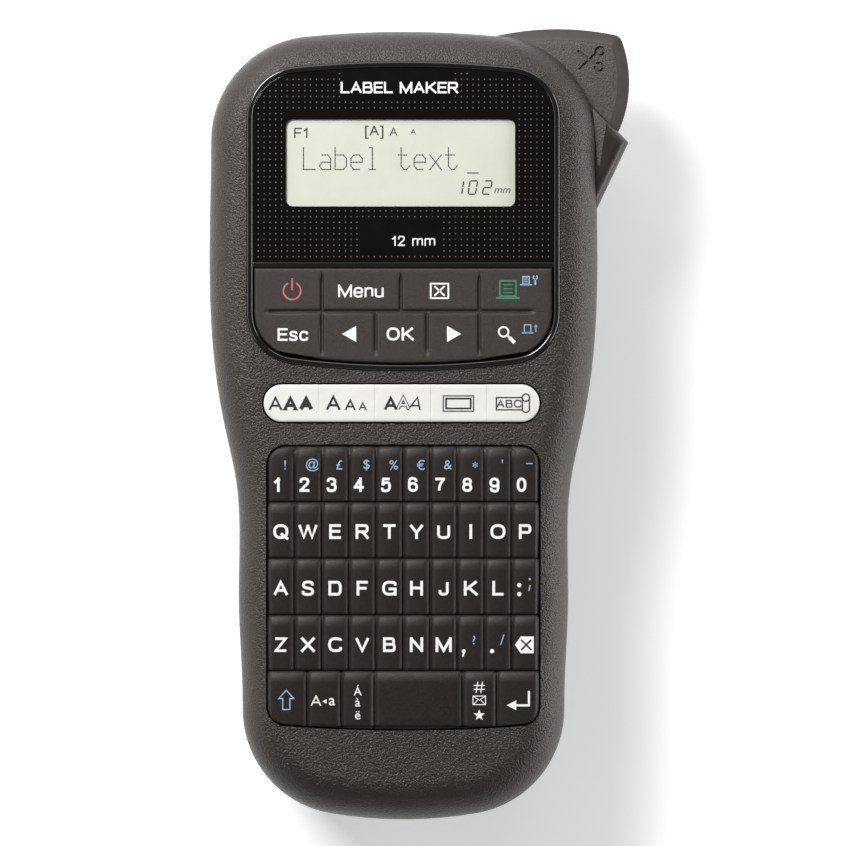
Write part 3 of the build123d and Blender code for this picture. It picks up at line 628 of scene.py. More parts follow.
def cornerCut(points, closed, rounds=3):
    # cuts corners until the line runs smoothly
    for _ in range(rounds):
        cut = [] if closed else [points[0]]
        pairs = list(zip(points, points[1:] + points[:1] if closed else points[1:]))
        for (ax, ay), (bx, by) in pairs:
            cut += [(ax * near + bx * far, ay * near + by * far) for near, far in ((0.75, 0.25), (0.25, 0.75))]
        points = cut if closed else cut + [points[-1]]
    return points


def strokeOutline(points, width, closed):
    # both sides of a centre line, mitred at its corners
    sides = ([], [])
    count = len(points)
    for k, (x, y) in enumerate(points):
        before = points[k - 1] if k or closed else None
        after = points[(k + 1) % count] if k < count - 1 or closed else None
        ways = []
        for (ax, ay), (bx, by) in ((before or (x, y), (x, y)), ((x, y), after or (x, y))):
            length = math.hypot(bx - ax, by - ay)
            if length > 1e-9:
                ways.append(((bx - ax) / length, (by - ay) / length))
        nx = sum(-w[1] for w in ways) / len(ways)
        ny = sum(w[0] for w in ways) / len(ways)
        size = max(nx * nx + ny * ny, 0.22)
        for side, way in zip(sides, (0.5, -0.5)):
            side.append((x + nx / size * width * way, y + ny / size * width * way))
    if closed:
        return [sides[0], sides[1]]
    return [sides[0] + sides[1][::-1]]


def word(text, x, y, height, surface, mat, weight=0.19, gap=0.14, slant=0.0, proud=0.03):
    # letters of even strokes centred on x and y, one closed slab per stroke
    stroke = weight * height
    widths = [0.42 if c == " " else strokeShapes[c][0] for c in text]
    left = x - (sum(widths) + gap * (len(text) - 1)) * height / 2
    pieces = []
    for char, wide in zip(text, widths):
        spanX, spanY = max(wide * height - stroke, 0.001), height - stroke
        for n, line in enumerate(strokeShapes[char][1].split("|") if char != " " else []):
            kind, *pairs = line.split()
            raw = [tuple(float(v) for v in pair.split(",")) for pair in pairs]
            placed = [(left + stroke / 2 + px * spanX + py * spanY * slant,
                       y - height / 2 + stroke / 2 + py * spanY) for px, py in raw]
            if kind == "L":
                # square ends reach the outside of the box
                square = len(placed) < 3 or char in "LEFT"
                placed = stretchEnds(placed, stroke / 2 if square else stroke * 0.25)
            else:
                placed = cornerCut(placed, kind == "O")
            pieces.append(sign(strokeOutline(placed, stroke, kind == "O"), surface, mat, proud + 0.001 * n))
        left += (wide + gap) * height
    return joinPieces("word", pieces)


def stretchEnds(points, more):
    def pushed(end, inner):
        length = math.hypot(end[0] - inner[0], end[1] - inner[1])
        return tuple(e + (e - i) / length * more for e, i in zip(end, inner))
    return [pushed(points[0], points[1])] + points[1:-1] + [pushed(points[-1], points[-2])]


def barLoop(x0, y0, x1, y1, width, square=True):
    # one straight stroke
    length = math.hypot(x1 - x0, y1 - y0)
    ux, uy = (x1 - x0) / length * width / 2, (y1 - y0) / length * width / 2
    ex, ey = (ux, uy) if square else (0, 0)
    return [(x0 - ex + uy, y0 - ey - ux), (x1 + ex + uy, y1 + ey - ux),
            (x1 + ex - uy, y1 + ey + ux), (x0 - ex - uy, y0 - ey + ux)]


def arcLoop(cx, cy, r, width, start, end, steps=20):
    # part of a ring as one closed loop
    outer, inner = r + width / 2, r - width / 2
    return arcPoints(cx, cy, outer, start, end, steps) + arcPoints(cx, cy, inner, end, start, steps)


def at(x, y, points):
    # points given from the middle of a sign
    return [(x + dx, y + dy) for dx, dy in points]


def frameLoops(x, y, w, h, width):
    # rectangular outline
    halves = ((w / 2, h / 2), (w / 2 - width, h / 2 - width))
    return [at(x, y, [(-a, -b), (a, -b), (a, b), (-a, b)]) for a, b in halves]


def hoopLoops(x, y, outer, inner, steps):
    return [circleLoop(x, y, outer, steps), circleLoop(x, y, inner, steps)]


def disc(x, y, r, steps, surface, ink):
    return sign([circleLoop(x, y, r, steps)], surface, ink)


def bars(x, y, ends, width, surface, ink, square=True, proud=0.03):
    # straight strokes, their ends given from the middle of the sign
    return [sign([barLoop(x + ax, y + ay, x + bx, y + by, width, square)], surface, ink, proud)
            for ax, ay, bx, by in ends]


white, blue, black, pink, green = "printWhite", "printBlue", "printBlack", "printPink", "printGreen"

# glossy ring and display

ring = {
    "halfX": 39.8, "lowY": 13.6, "topY": 92.3, "cornerR": 13.0, "lowRise": 1.7, "topRise": 1.4,
    "width": 1.5, "crown": 0.55,
}
display = {
    "holeX": (-29.8, 28.4), "holeY": (55.4, 77.5), "holeR": 1.8,
    "dotPitch": (1.475, 1.455), "dotR": 0.19, "dotEdge": 1.1, "lcdMargin": 1.05, "lcdMarginTop": 1.9,
    "lcdDepth": 0.55,
    "title": "LABEL MAKER", "titleAt": (-1.0, 85.6), "titleHeight": 2.9,
    "titleClear": (-15.2, 13.2, 82.4, 89.2),      # left, right, low and top of the space without dots
    "note": "12 mm", "noteAt": (2.6, 46.6), "noteHeight": 2.5, "noteClear": (-11.0, 9.6, 44.0, 52.6),
}


def ringLoop(inset):
    return bowedLoop(ring["halfX"] - inset, ring["lowY"] + inset, ring["topY"] - inset,
                     ring["cornerR"] - inset, ring["lowRise"], ring["topRise"])


def makeRing():
    low, high = boxOf("bezel_frame")
    topZ, lowZ = high[2], low[2]
    steps = 9
    section = [(0.0, lowZ), (0.0, topZ - ring["crown"] - 0.3)]
    section += [(ring["width"] * (0.5 - 0.5 * math.cos(math.pi * k / steps)),
                 topZ - ring["crown"] * (1 - math.sin(math.pi * k / steps))) for k in range(steps + 1)]
    section += [(ring["width"], topZ - ring["crown"] - 0.5), (ring["width"], lowZ)]
    body = sweptLoop("ringBody", section, ringLoop)
    # shelf under the pane, and the bar between pane and keys
    inner = ring["halfX"] - ring["width"]
    _, keyTop = boxOf("key_power")
    barLow, barHigh = keyTop[1] + 0.14, boxOf("display_window")[0][1] - 0.05
    barLoops = [roundLoop(-inner - 0.05, inner + 0.05, barLow, barHigh, 0.2, 2)]
    bar = plate("ringBar", barLoops, lowZ, topZ - 0.45, 0.22)
    shelfOuter = [p for p in ringLoop(ring["width"]) if p[1] > barHigh]
    shelfOuter = [(inner, barHigh)] + shelfOuter + [(-inner, barHigh)]
    shelfInner = list(reversed(roundLoop(-inner + 2, inner - 2, barHigh + 2, ring["topY"] - 6, 6)))
    shelf = plate("ringShelf", [shelfOuter, shelfInner], lowZ, lowZ + 1.0)
    piece = joinPieces("glossRing", [body, bar, shelf])
    finishPiece(piece, "casing", ["bezel_frame"], ["bezel"])


def paneLoop():
    low, high = boxOf("display_window")
    points = [p for p in ringLoop(ring["width"] + 0.1) if p[1] > low[1] + 1]
    return [(high[0], low[1])] + points + [(low[0], low[1])]


def inBox(x, y, limits):
    return limits[0] < x < limits[1] and limits[2] < y < limits[3]


def makePane():
    low, high = boxOf("display_window")
    holeX, holeY = display["holeX"], display["holeY"]
    hole = roundLoop(holeX[0], holeX[1], holeY[0], holeY[1], display["holeR"])
    pane = plate("displayPane", [paneLoop(), hole], low[2], high[2], 0.12)
    finishPiece(pane, "casing", ["display_window"], ["window"])

    # printed dots, kept clear of the display and of the two printed notes
    m, top = display["lcdMargin"], display["lcdMarginTop"]
    lcdClear = (holeX[0] - m, holeX[1] + m, holeY[0] - m, holeY[1] + top)
    inward = ring["width"] + display["dotEdge"]
    field = (ring["halfX"] - inward, low[1] - 20, ring["topY"] - inward, ring["cornerR"] - inward,
             0.01, ring["topRise"])
    verts, faces, sides = [], [], 8
    rows = int((high[1] - low[1]) / display["dotPitch"][1])
    columns = int(high[0] / display["dotPitch"][0])
    for j in range(rows + 1):
        y = low[1] + 1.4 + j * display["dotPitch"][1]
        for i in range(-columns, columns + 1):
            x = i * display["dotPitch"][0]
            clear = any(inBox(x, y, c) for c in (lcdClear, display["titleClear"], display["noteClear"]))
            if clear or y > fieldEnd(field, x, 1) or abs(x) > fieldEdge(field, y, 1):
                continue
            start = len(verts)
            for z in (high[2] - 0.03, high[2] + 0.012):
                verts += [(px, py, z) for px, py in circleLoop(x, y, display["dotR"], sides)]
            faces.append(tuple(range(start + sides, start + 2 * sides)))
            faces.append(tuple(range(start + sides - 1, start - 1, -1)))
            faces += [(start + k, start + (k + 1) % sides, start + sides + (k + 1) % sides, start + sides + k)
                      for k in range(sides)]
    dots = newPiece("paneDots", verts, faces)
    finishPiece(dots, "casing", (), ["panelDot"], 0)

    flat = lambda x, y: high[2]
    x, y = display["titleAt"]
    title = word(display["title"], x, y, display["titleHeight"], flat, white, 0.17, 0.10, 0, 0.014)
    x, y = display["noteAt"]
    note = word(display["note"], x, y, display["noteHeight"], flat, white, 0.13, 0.17, 0, 0.014)
    finishPiece(joinPieces("panePrint", [title, note]), "casing", (), (), 0)


# the reading on the display

dotLetters = {
    "L": ("10000", "10000", "10000", "10000", "10000", "10000", "11111"),
    "x": ("00000", "00000", "10001", "01010", "00100", "01010", "10001"),
    "e": ("00000", "00000", "01110", "10001", "11111", "10000", "01110"),
    "l": ("01100", "00100", "00100", "00100", "00100", "00100", "01110"),
    "a": ("00000", "00000", "01110", "00001", "01111", "10001", "01111"),
    "b": ("10000", "10000", "11110", "10001", "10001", "10001", "11110"),
    "t": ("01000", "01000", "11110", "01000", "01000", "01001", "00110"),
}
reading = {
    "text": "Label text", "left": -25.4, "low": 64.8, "pitch": 4.02, "cell": (0.72, 0.92), "stroke": 0.30,
    "digits": "102", "digitX": (13.9, 17.4, 21.1), "digitLow": 58.5, "digitHeight": 3.4,
    "digitWidth": 1.9, "digitStroke": 0.36, "digitGap": 0.14, "lean": 0.16,
    "mode": ("F1", -26.0, 74.1, 2.6), "unit": ("mm", 25.2, 59.4, 2.0), "cursor": (16.3, 63.9, 19.0, 63.9),
    # text, x, y, height, weight and spacing of the three sizes shown
    "sizes": [("[A]", -7.4, 74.3, 2.7, 0.004, 1.1), ("A", -2.5, 74.4, 2.25, -0.004, 1.0),
              ("A", 2.5, 74.4, 1.55, -0.004, 1.0)],
    "proud": 0.012,
}
segmentsOn = {"1": "bc", "0": "abcdef", "2": "abged"}


def dotText(surface):
    loops = []
    w, h = reading["cell"]
    for n, char in enumerate(reading["text"]):
        rows = dotLetters.get(char)
        if not rows:
            continue
        left = reading["left"] + n * reading["pitch"]
        lit = [(i, j) for j, row in enumerate(reversed(rows)) for i, on in enumerate(row) if on == "1"]
        for i, j in lit:
            x, y = left + i * w, reading["low"] + j * h
            s = reading["stroke"] / 2
            loops.append([(x - s, y - s), (x + s, y - s), (x + s, y + s), (x - s, y + s)])
            for di, dj in ((1, 0), (0, 1), (1, 1), (-1, 1)):
                diagonal = di and dj
                beside = (i + di, j) in lit or (i, j + dj) in lit
                if (i + di, j + dj) in lit and not (diagonal and beside):
                    loops.append(barLoop(x, y, x + di * w, y + dj * h, reading["stroke"] * 0.8, False))
    return [sign([loop], surface, "lcdThin", reading["proud"]) for loop in loops]


def segmentDigit(char, x, surface):
    height, width, stroke = reading["digitHeight"], reading["digitWidth"], reading["digitStroke"]
    half = height / 2
    ends = {"a": (0, height, width, height), "b": (width, half, width, height), "c": (width, 0, width, half),
            "d": (0, 0, width, 0), "e": (0, 0, 0, half), "f": (0, half, 0, height), "g": (0, half, width, half)}
    pieces = []
    for name in segmentsOn[char]:
        ax, ay, bx, by = ends[name]
        length = math.hypot(bx - ax, by - ay)
        inset = reading["digitGap"] + stroke / 2
        ux, uy = (bx - ax) / length * inset, (by - ay) / length * inset
        upright = barLoop(ax + ux, ay + uy, bx - ux, by - uy, stroke)
        loop = [(x - width / 2 + px + py * reading["lean"], reading["digitLow"] + py) for px, py in upright]
        pieces.append(sign([loop], surface, "lcdInk", reading["proud"]))
    return pieces


def makeLcd():
    low, high = boxOf("lcd_panel")
    topZ = boxOf("display_window")[1][2] - display["lcdDepth"]
    outline = roundLoop(low[0], high[0], low[1], high[1], 0.6, 3)
    panel = plate("lcdGlass", [outline], low[2], topZ - 0.02, 0.08)
    finishPiece(panel, "casing", ["lcd_panel"], ["lcd"])
    flat = lambda x, y: topZ - 0.02
    thin = reading["proud"]
    ink = [word(*reading["mode"], flat, "lcdInk", 0.13, 0.17, 0, thin)]
    ink += [letter(*place, flat, "lcdInk", bold=bold, space=space, proud=thin)
            for *place, bold, space in reading["sizes"]]
    ink += [letter(*reading["unit"], flat, "lcdInk", slant=0.25, bold=-0.002, proud=thin),
            sign([barLoop(*reading["cursor"], 0.3)], flat, "lcdInk", thin)]
    for char, x in zip(reading["digits"], reading["digitX"]):
        ink += segmentDigit(char, x, flat)
    ink += dotText(flat)
    finishPiece(joinPieces("lcdReading", ink), "casing", (), (), 0)


makeRing()
makePane()
makeLcd()
print("display made")

halfGap = 0.15    # half the space between neighbouring CAD keys, which the visible keys close

# control keys

pad = {
    "field": (37.9, 15.5, 90.4, 11.1, ring["lowRise"], ring["topRise"]),
    "grooves": [(-33.7, 28.7, 32.5, 28.7), (-20.7, 18.4, -20.7, 37.2), (19.3, 18.4, 19.3, 37.2),
                (-0.7, 28.7, -0.7, 37.2), (-7.1, 18.4, -7.1, 28.7), (6.0, 18.4, 6.0, 28.7)],
    "grooveWidth": 1.25, "grooveDepth": 0.75, "seam": 0.015, "edgeRound": 0.7, "edgeDrop": 0.45,
    "rowSplit": 28.0, "sideX": 37.5,      # tell upper keys from lower ones, and the outer keys
}


def padSurface(topY):
    field = pad["field"]

    def drop(x, y):
        gap = min(fieldEdge(field, y, 1) - x, x - fieldEdge(field, y, -1),
                  topY - y, y - fieldEnd(field, x, -1))
        return (grooveDrop(x, y, pad["grooves"], pad["grooveWidth"], pad["grooveDepth"])
                + roundDrop(gap, pad["edgeRound"], pad["edgeDrop"]))
    return drop


# where the signs of the control keys stand, and the width of their lines
controlSigns = {
    "power": {"at": (-28.3, 33.9), "r": 2.2, "line": 0.42},
    "cancel": {"at": (9.2, 33.9), "size": (4.9, 4.1), "line": 0.42},
    "print": {"at": (26.6, 34.2), "line": 0.42, "secondAt": (31.2, 36.6), "secondLine": 0.28},
    "preview": {"at": (25.5, 23.5), "secondAt": (31.6, 24.3), "secondLine": 0.26},
    "left": (-13.8, 22.95), "right": (12.9, 22.95),
}


def powerSign(s):
    (x, y), r, w = controlSigns["power"].values()
    return [sign([arcLoop(x, y, r, w, 118, 422, 36)], s, pink)] + bars(x, y, [(0, 0.4, 0, 3.0)], w, s, pink)


def cancelSign(s):
    (x, y), size, w = controlSigns["cancel"].values()
    cross = [(-1.15, -1.1, 1.15, 1.1), (-1.15, 1.1, 1.15, -1.1)]
    return [sign(frameLoops(x, y, *size, w), s, white)] + bars(x, y, cross, w, s, white)


def printSign(s):
    (x, y), w, second, thin = controlSigns["print"].values()
    pieces = [sign(frameLoops(x, y + 0.3, 4.5, 4.3, w), s, green)]
    pieces += bars(x, y, [(-2.7, -2.1, 2.7, -2.1)], w * 1.3, s, green)
    pieces += bars(x, y, [(-1.0, dy, 1.0, dy) for dy in (-0.75, 0.25, 1.25)], 0.32, s, green)
    # small second function: a page and a spanner
    x, y = second
    pieces.append(sign(frameLoops(x, y, 1.9, 2.2, thin), s, blue))
    pieces += bars(x, y, [(-0.45, dy, 0.45, dy) for dy in (-0.4, 0.1, 0.6)], 0.2, s, blue)
    pieces += bars(x, y, [(-1.4, -1.15, 1.4, -1.15)], thin, s, blue)
    pieces += bars(x, y, [(2.35, -1.0, 2.35, 0.3)], 0.42, s, blue)
    return pieces + [sign([arcLoop(x + 2.35, y + 0.75, 0.5, 0.34, 120, 420, 18)], s, blue)]


def previewSign(s):
    # a lens, and as its second function a page and a feed arrow
    (x, y), second, thin = controlSigns["preview"].values()
    pieces = [sign(hoopLoops(x, y, 1.45, 1.0, 32), s, white)]
    pieces += bars(x, y, [(1.1, -1.1, 1.6, -1.6)], 0.5, s, white, False)
    pieces += bars(x, y, [(1.5, -1.5, 2.8, -2.8)], 0.95, s, white, False)
    x, y = second
    pieces.append(sign(frameLoops(x, y, 1.9, 2.2, thin), s, blue))
    pieces += bars(x, y, [(-1.35, -1.1, 1.35, -1.1), (2.1, -0.7, 2.1, 0.6)], thin, s, blue)
    return pieces + [sign([at(x, y, [(1.6, 0.4), (2.6, 0.4), (2.1, 1.15)])], s, blue)]


def arrowSign(side, way, s):
    triangle = [(-1.8 * way, -2.05), (1.8 * way, 0), (-1.8 * way, 2.05)]
    return [sign([at(*controlSigns[side], triangle)], s, white)]


controlPrint = {
    "key_power": powerSign,
    "key_menu": lambda s: [word("Menu", -10.8, 33.9, 3.2, s, white, 0.155, 0.12)],
    "key_cancel": cancelSign,
    "key_print": printSign,
    "key_escape": lambda s: [word("Esc", -28.1, 22.8, 3.2, s, white, 0.165, 0.12)],
    "key_left": lambda s: arrowSign("left", -1, s),
    "key_ok": lambda s: [word("OK", -0.8, 22.95, 3.3, s, white, 0.18)],
    "key_right": lambda s: arrowSign("right", 1, s),
    "key_preview": previewSign,
}


def finishKey(node, key, prints, mat):
    key.data.materials.append(finish[mat])
    key.data.shade_smooth()
    key.data.set_sharp_from_angle(angle=math.radians(50))
    for piece in prints:
        piece.data.shade_flat()
    whole = joinPieces(node + "Top", [key] + prints)
    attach(whole, node)
    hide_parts(node)


def makeControlKeys():
    gap = halfGap - pad["seam"]
    for node, prints in controlPrint.items():
        low, high = boxOf(node)
        upper = low[1] > pad["rowSplit"]
        topY = high[1] if upper else math.inf
        drop = padSurface(topY)
        outer = (low[0] < -pad["sideX"], high[0] > pad["sideX"])
        cell = (low[0] - (0 if outer[0] else gap), high[0] + (0 if outer[1] else gap),
                low[1] - (gap if upper else 0), high[1] + (0 if upper else gap))
        key = keyMesh(node + "Body", cell, high[2], low[2], drop, pad["field"], 0.9, (not upper, False))
        finishKey(node, key, prints(lambda x, y: high[2] - drop(x, y)), "keysControl")


makeControlKeys()
print("control keys made")

# white strip keys

strip = {"cornerR": 4.6, "edgeRound": 0.8, "edgeDrop": 0.35, "dividerWidth": 0.5, "dividerDepth": 0.16,
         "dividerReach": 3.2, "seam": 0.015,
         "signY": 5.25, "signHeight": 3.5, "line": 0.34}


def stripField():
    # the rounded field all five keys share, from the outer sides of the first and last key
    low, high = boxOf("key_font")[0], boxOf("key_template")[1]
    return low[0], high[0], low[1], high[1]


def stripEdge(x, y, field):
    # distance inside the rounded field
    x0, x1, y0, y1 = field
    r = strip["cornerR"]
    cx, cy = min(max(x, x0 + r), x1 - r), min(max(y, y0 + r), y1 - r)
    if x != cx and y != cy:
        return r - math.hypot(x - cx, y - cy)
    return min(x - x0, x1 - x, y - y0, y1 - y)


def stripSigns(node, x, s):
    y, h = strip["signY"], strip["signHeight"]
    base = y - h / 2
    if node == "key_font":
        feet = [(dx, 0.17, dx + 0.95, 0.17) for dx in (-2.05, 0.6)]
        return [word("A", x - 4.0, y, h, s, black, 0.15), word("A", x - 0.2, y, h, s, black, 0.23),
                *bars(x, base, feet, 0.34, s, black, True, 0.034), word("A", x + 3.8, y, h, s, black, 0.29)]
    if node == "key_size":
        return [word("A", x + dx, base + h * part / 2, h * part, s, black, 0.16)
                for dx, part in ((-3.4, 1.08), (0.9, 0.8), (4.1, 0.6))]
    if node == "key_style":
        # the middle letter is an outline: a white one on a heavier black one
        return [word("A", x - 3.0, y, h, s, black, 0.2), word("A", x + 0.2, y + 0.15, h * 1.02, s, black, 0.27),
                word("A", x + 0.2, y + 0.15, h * 0.90, s, "keysStrip", 0.13, proud=0.055),
                word("A", x + 2.9, y, h, s, black, 0.12, slant=0.3)]
    if node == "key_frame":
        return [sign(frameLoops(x, y, *size, w), s, black) for *size, w in ((8.0, 4.2, 0.3), (6.7, 2.95, 0.45))]
    # a label with letters that runs off a roll
    w = strip["line"]
    ends = [(-4.2, -1.6, 2.4, -1.6), (-4.2, -1.6, -4.2, 1.5), (-4.2, 1.5, 2.4, 1.5), (4.2, 1.4, 4.2, -1.2),
            (2.4, 1.0, 2.4, -1.6)]
    lines = [barLoop(x + ax, y + ay, x + bx, y + by, w) for ax, ay, bx, by in ends]
    lines.append(arcLoop(x + 3.3, y - 1.3, 0.95, w, 180, 360, 14))
    return [sign([line], s, black, 0.03 + 0.001 * k) for k, line in enumerate(lines)] + [
        sign(hoopLoops(x + 3.3, y + 1.5, 1.1, 0.76, 28), s, black, 0.038),
        word("ABC", x - 1.0, y - 0.05, 2.0, s, black, 0.16, 0.17)]


def makeStripKeys():
    field = stripField()
    nodes = ["key_font", "key_size", "key_style", "key_frame", "key_template"]
    middle = (field[2] + field[3]) / 2
    for n, node in enumerate(nodes):
        low, high = boxOf(node)
        x0 = field[0] if n == 0 else low[0] - halfGap + strip["seam"]
        x1 = field[1] if n == 4 else high[0] + halfGap - strip["seam"]
        dividers = [x for x in (x0, x1) if x not in field[:2]]

        def drop(x, y):
            away = min(abs(x - d) for d in dividers)
            inside = max(0.0, 1 - abs(y - middle) / strip["dividerReach"])
            valley = math.exp(-(away / strip["dividerWidth"]) ** 2)
            groove = strip["dividerDepth"] * valley * min(1.0, inside * 6)
            return groove + roundDrop(stripEdge(x, y, field), strip["edgeRound"], strip["edgeDrop"])

        shape = (field[1] - (field[0] + field[1]) / 2, field[2], field[3], strip["cornerR"], 0.001, 0.001)
        centre = (field[0] + field[1]) / 2
        key = keyMesh(node + "Body", (x0 - centre, x1 - centre, field[2], field[3]), high[2], low[2],
                      lambda x, y: drop(x + centre, y), shape, 0.8)
        for v in key.data.vertices:
            v.co.x += centre * mm
        prints = stripSigns(node, (x0 + x1) / 2, lambda x, y: high[2] - drop(x, y))
        finishKey(node, key, prints, "keysStrip")


makeStripKeys()
print("strip keys made")

# letter keys

board = {
    "cornerR": 4.6, "lowRise": 1.1, "topRise": 0.05, "columns": 10, "seam": 0.03,
    "brow": (3.0, 1.35), "fall": 0.95, "foot": (0.6, 0.45), "valley": (0.50, 0.60), "crown": 0.42,
    "side": (0.9, 0.55),
    "digitHeight": 3.6, "letterHeight": 3.75, "blueHeight": 2.499, "weight": 0.185,
    "bottomTop": -60.0, "bottomFoot": -77.0,      # the bottom row lies below one and rounds off at the other
    "nearLines": (-1.2, -0.8, -0.5, -0.25, 0.0, 0.25, 0.5, 0.8, 1.2),      # mesh lines beside a valley
}
boardRows = [
    # node, signs along the row, y of their middle, shift in x from the middle of the column
    ("key_row_numbers", "1234567890", -15.4, -1.0),
    ("key_row_q", "QWERTYUIOP", -27.3, -0.1),
    ("key_row_a", "ASDFGHJKL", -41.7, -0.1),
    ("key_row_z", "ZXCVBNM", -56.05, -0.1),
]
blueSigns = "!@£$%€&*'-"


def boardField():
    high = boxOf("key_row_a")[1]
    top = boxOf("key_row_numbers")[1][1]
    bottom = boxOf("key_space")[0][1]
    return high[0], bottom, top, board["cornerR"], board["lowRise"], board["topRise"]


def boardDrop(y0, y1, bounds, field):
    valleyDepth, valleyReach = board["valley"]

    def drop(x, y):
        down = (roundDrop(y1 - y, *board["brow"]) + board["fall"] * (y1 - y) / (y1 - y0)
                + roundDrop(y - y0, *board["foot"]))
        near = sorted(bounds, key=lambda b: abs(x - b))
        left = max([b for b in bounds if b <= x + 0.001], default=bounds[0])
        right = min([b for b in bounds if b > left], default=left + 1)
        down += valleyDepth * math.exp(-((x - near[0]) / valleyReach) ** 2)
        t = (x - (left + right) / 2) / ((right - left) / 2)
        edge = min(fieldEdge(field, y, 1) - x, x - fieldEdge(field, y, -1))
        return down + board["crown"] * min(1.0, abs(t) ** 2.6) + roundDrop(edge, *board["side"])
    return drop


def boardSigns(node, columnX, s):
    # white signs and their light blue seconds, by row
    for row, text, y, shift in boardRows:
        if row == node:
            tall = board["digitHeight"] if text[0] == "1" else board["letterHeight"]
            signs = [word(c, x + shift, y, tall, s, white, board["weight"]) for c, x in zip(text, columnX)]
    if node == "key_row_numbers":
        for c, x in zip(blueSigns, columnX):
            if c == "-":
                signs += bars(x, -10.0, [(0.3, 0, 1.7, 0)], 0.26, s, blue)
            else:
                up = 0.9 if c == "'" else 0
                signs.append(letter(c, x + 1.0, -10.35 + up, board["blueHeight"], s, blue, bold=0.004))
    if node == "key_row_a":
        x = columnX[9]
        signs += [disc(x - 1.6, y, 0.55, 20, s, white) for y in (-40.9, -43.2)]
        signs += [disc(x + 1.1, -39.4, 0.3, 16, s, blue),
                  *bars(x, -41.1, [(1.15, 0, 0.9, -1.1)], 0.36, s, blue)]
    if node == "key_row_z":
        x, x2, y = columnX[7], columnX[8], -57.7
        signs += [disc(x - 1.9, y, 0.5, 18, s, white), *bars(x, y, [(-1.7, 0, -2.1, -1.2)], 0.45, s, white),
                  letter("?", x + 0.75, -54.9, 2.3, s, blue, bold=0.004),
                  disc(x2 - 1.6, y, 0.55, 18, s, white), *bars(x2, y, [(0.6, 1.7, 1.4, 4.1)], 0.26, s, blue)]
    return signs


# middle of the sign on each key that is pressed singly
bottomPlaces = {
    "key_backspace": (30.75, -56.1), "key_shift": (-29.75, -70.1), "key_caps": (-20.25, -70.1),
    "key_accent": (-11.6, -70.1), "key_symbol": (19.3, -70.1), "key_enter": (29.3, -70.1),
}


def bottomSigns(node, s):
    if node not in bottomPlaces:
        return []
    x, y = bottomPlaces[node]
    if node == "key_backspace":
        tag = [(-2.4, 0), (-0.9, 2.15), (2.4, 2.15), (2.4, -2.15), (-0.9, -2.15)]
        cross = [(-0.65, -1.15, 1.65, 1.15), (-0.65, 1.15, 1.65, -1.15)]
        return [sign([at(x, y, tag)], s, white)] + bars(x, y, cross, 0.42, s, black, True, 0.06)
    if node == "key_shift":
        def arrow(d):
            return at(x, y, [(0, 2.7 - d * 1.35), (-2.2 + d * 2.0, 0.2 + d), (-1.05 + d, 0.2 + d),
                             (-1.05 + d, -2.6 + d), (1.05 - d, -2.6 + d), (1.05 - d, 0.2 + d),
                             (2.2 - d * 2.0, 0.2 + d)])
        return [sign([arrow(0.0), arrow(0.3)], s, blue)]
    if node == "key_caps":
        return [word("A", x - 1.95, y - 0.2, 2.75, s, white, 0.13),
                letter("a", x + 2.1, y - 0.45, 2.9, s, white, bold=0.008),
                sign([at(x, y, [(-0.35, -0.4), (0.75, 0.2), (0.75, -1.0)])], s, white)]
    if node == "key_accent":
        return [letter(c, x, y + dy, h, s, white, bold=0.006)
                for c, dy, h in (("Á", 2.5, 2.2), ("à", -0.6, 2.4), ("ë", -3.9, 2.4))]
    if node == "key_symbol":
        hatch = [(-1.3, 2.7, 1.3, 2.7), (-1.3, 3.7, 1.3, 3.7), (-0.8, 1.9, -0.4, 4.5), (0.4, 1.9, 0.8, 4.5)]
        flap = [(-1.5, 0.95, 0, -0.1), (1.5, 0.95, 0, -0.1), (-1.5, -1.1, -0.5, -0.2), (1.5, -1.1, 0.5, -0.2)]
        star = [(r * math.sin(math.radians(36 * k)), -3.9 + r * math.cos(math.radians(36 * k)))
                for k, r in enumerate([1.5, 0.6] * 5)]
        return (bars(x, y, hatch, 0.26, s, white) + bars(x, y, flap, 0.2, s, white)
                + [sign([at(x, y, star)], s, white), sign(frameLoops(x, y - 0.1, 3.4, 2.4, 0.22), s, white)])
    point = [(-3.0, -1.35), (-0.6, -0.1), (-0.6, -2.6)]
    bend = [(-1.0, -1.65), (2.9, -1.65), (2.9, 2.3), (2.35, 2.3), (2.35, -1.1), (-1.0, -1.1)]
    return [sign([at(x, y, loop)], s, white) for loop in (point, bend)]


def makeBoardKeys():
    field = boardField()
    half = field[0]
    pitch = 2 * half / board["columns"]
    columnX = [-half + pitch * (k + 0.5) for k in range(board["columns"])]
    rows = [row[0] for row in boardRows]
    lowest = boxOf("key_space")[0][1]
    singles = ["key_backspace", "key_shift", "key_caps", "key_accent", "key_space", "key_symbol", "key_enter"]
    for node in rows + singles:
        low, high = boxOf(node)
        seam = halfGap - board["seam"]
        bottomRow = high[1] < board["bottomTop"]
        top = node == "key_row_numbers"
        x0 = -half if low[0] < -half + 0.2 else low[0] - seam
        x1 = half if high[0] > half - 0.2 else high[0] + seam
        y1 = high[1] + (0 if top else seam)
        y0 = lowest if bottomRow else low[1] - seam
        cell = (x0, x1, y0, y1)
        if node in rows:
            bounds = [-half + pitch * k for k in range(board["columns"] + 1) if -half + pitch * k <= x1 + 0.3]
        else:
            bounds = [x0, x1]
        drop = boardDrop(board["bottomFoot"] if bottomRow else y0, y1, bounds, field)
        extra = [b + d for b in bounds for d in board["nearLines"] if x0 < b + d < x1]
        s = lambda x, y: high[2] - drop(x, y)
        key = keyMesh(node + "Body", cell, high[2], low[2], drop, field, 0.9, (bottomRow, top), extra)
        prints = boardSigns(node, columnX, s) if node in rows else bottomSigns(node, s)
        finishKey(node, key, prints, "keysBoard")


makeBoardKeys()
print("letter keys made")

# cutter lever

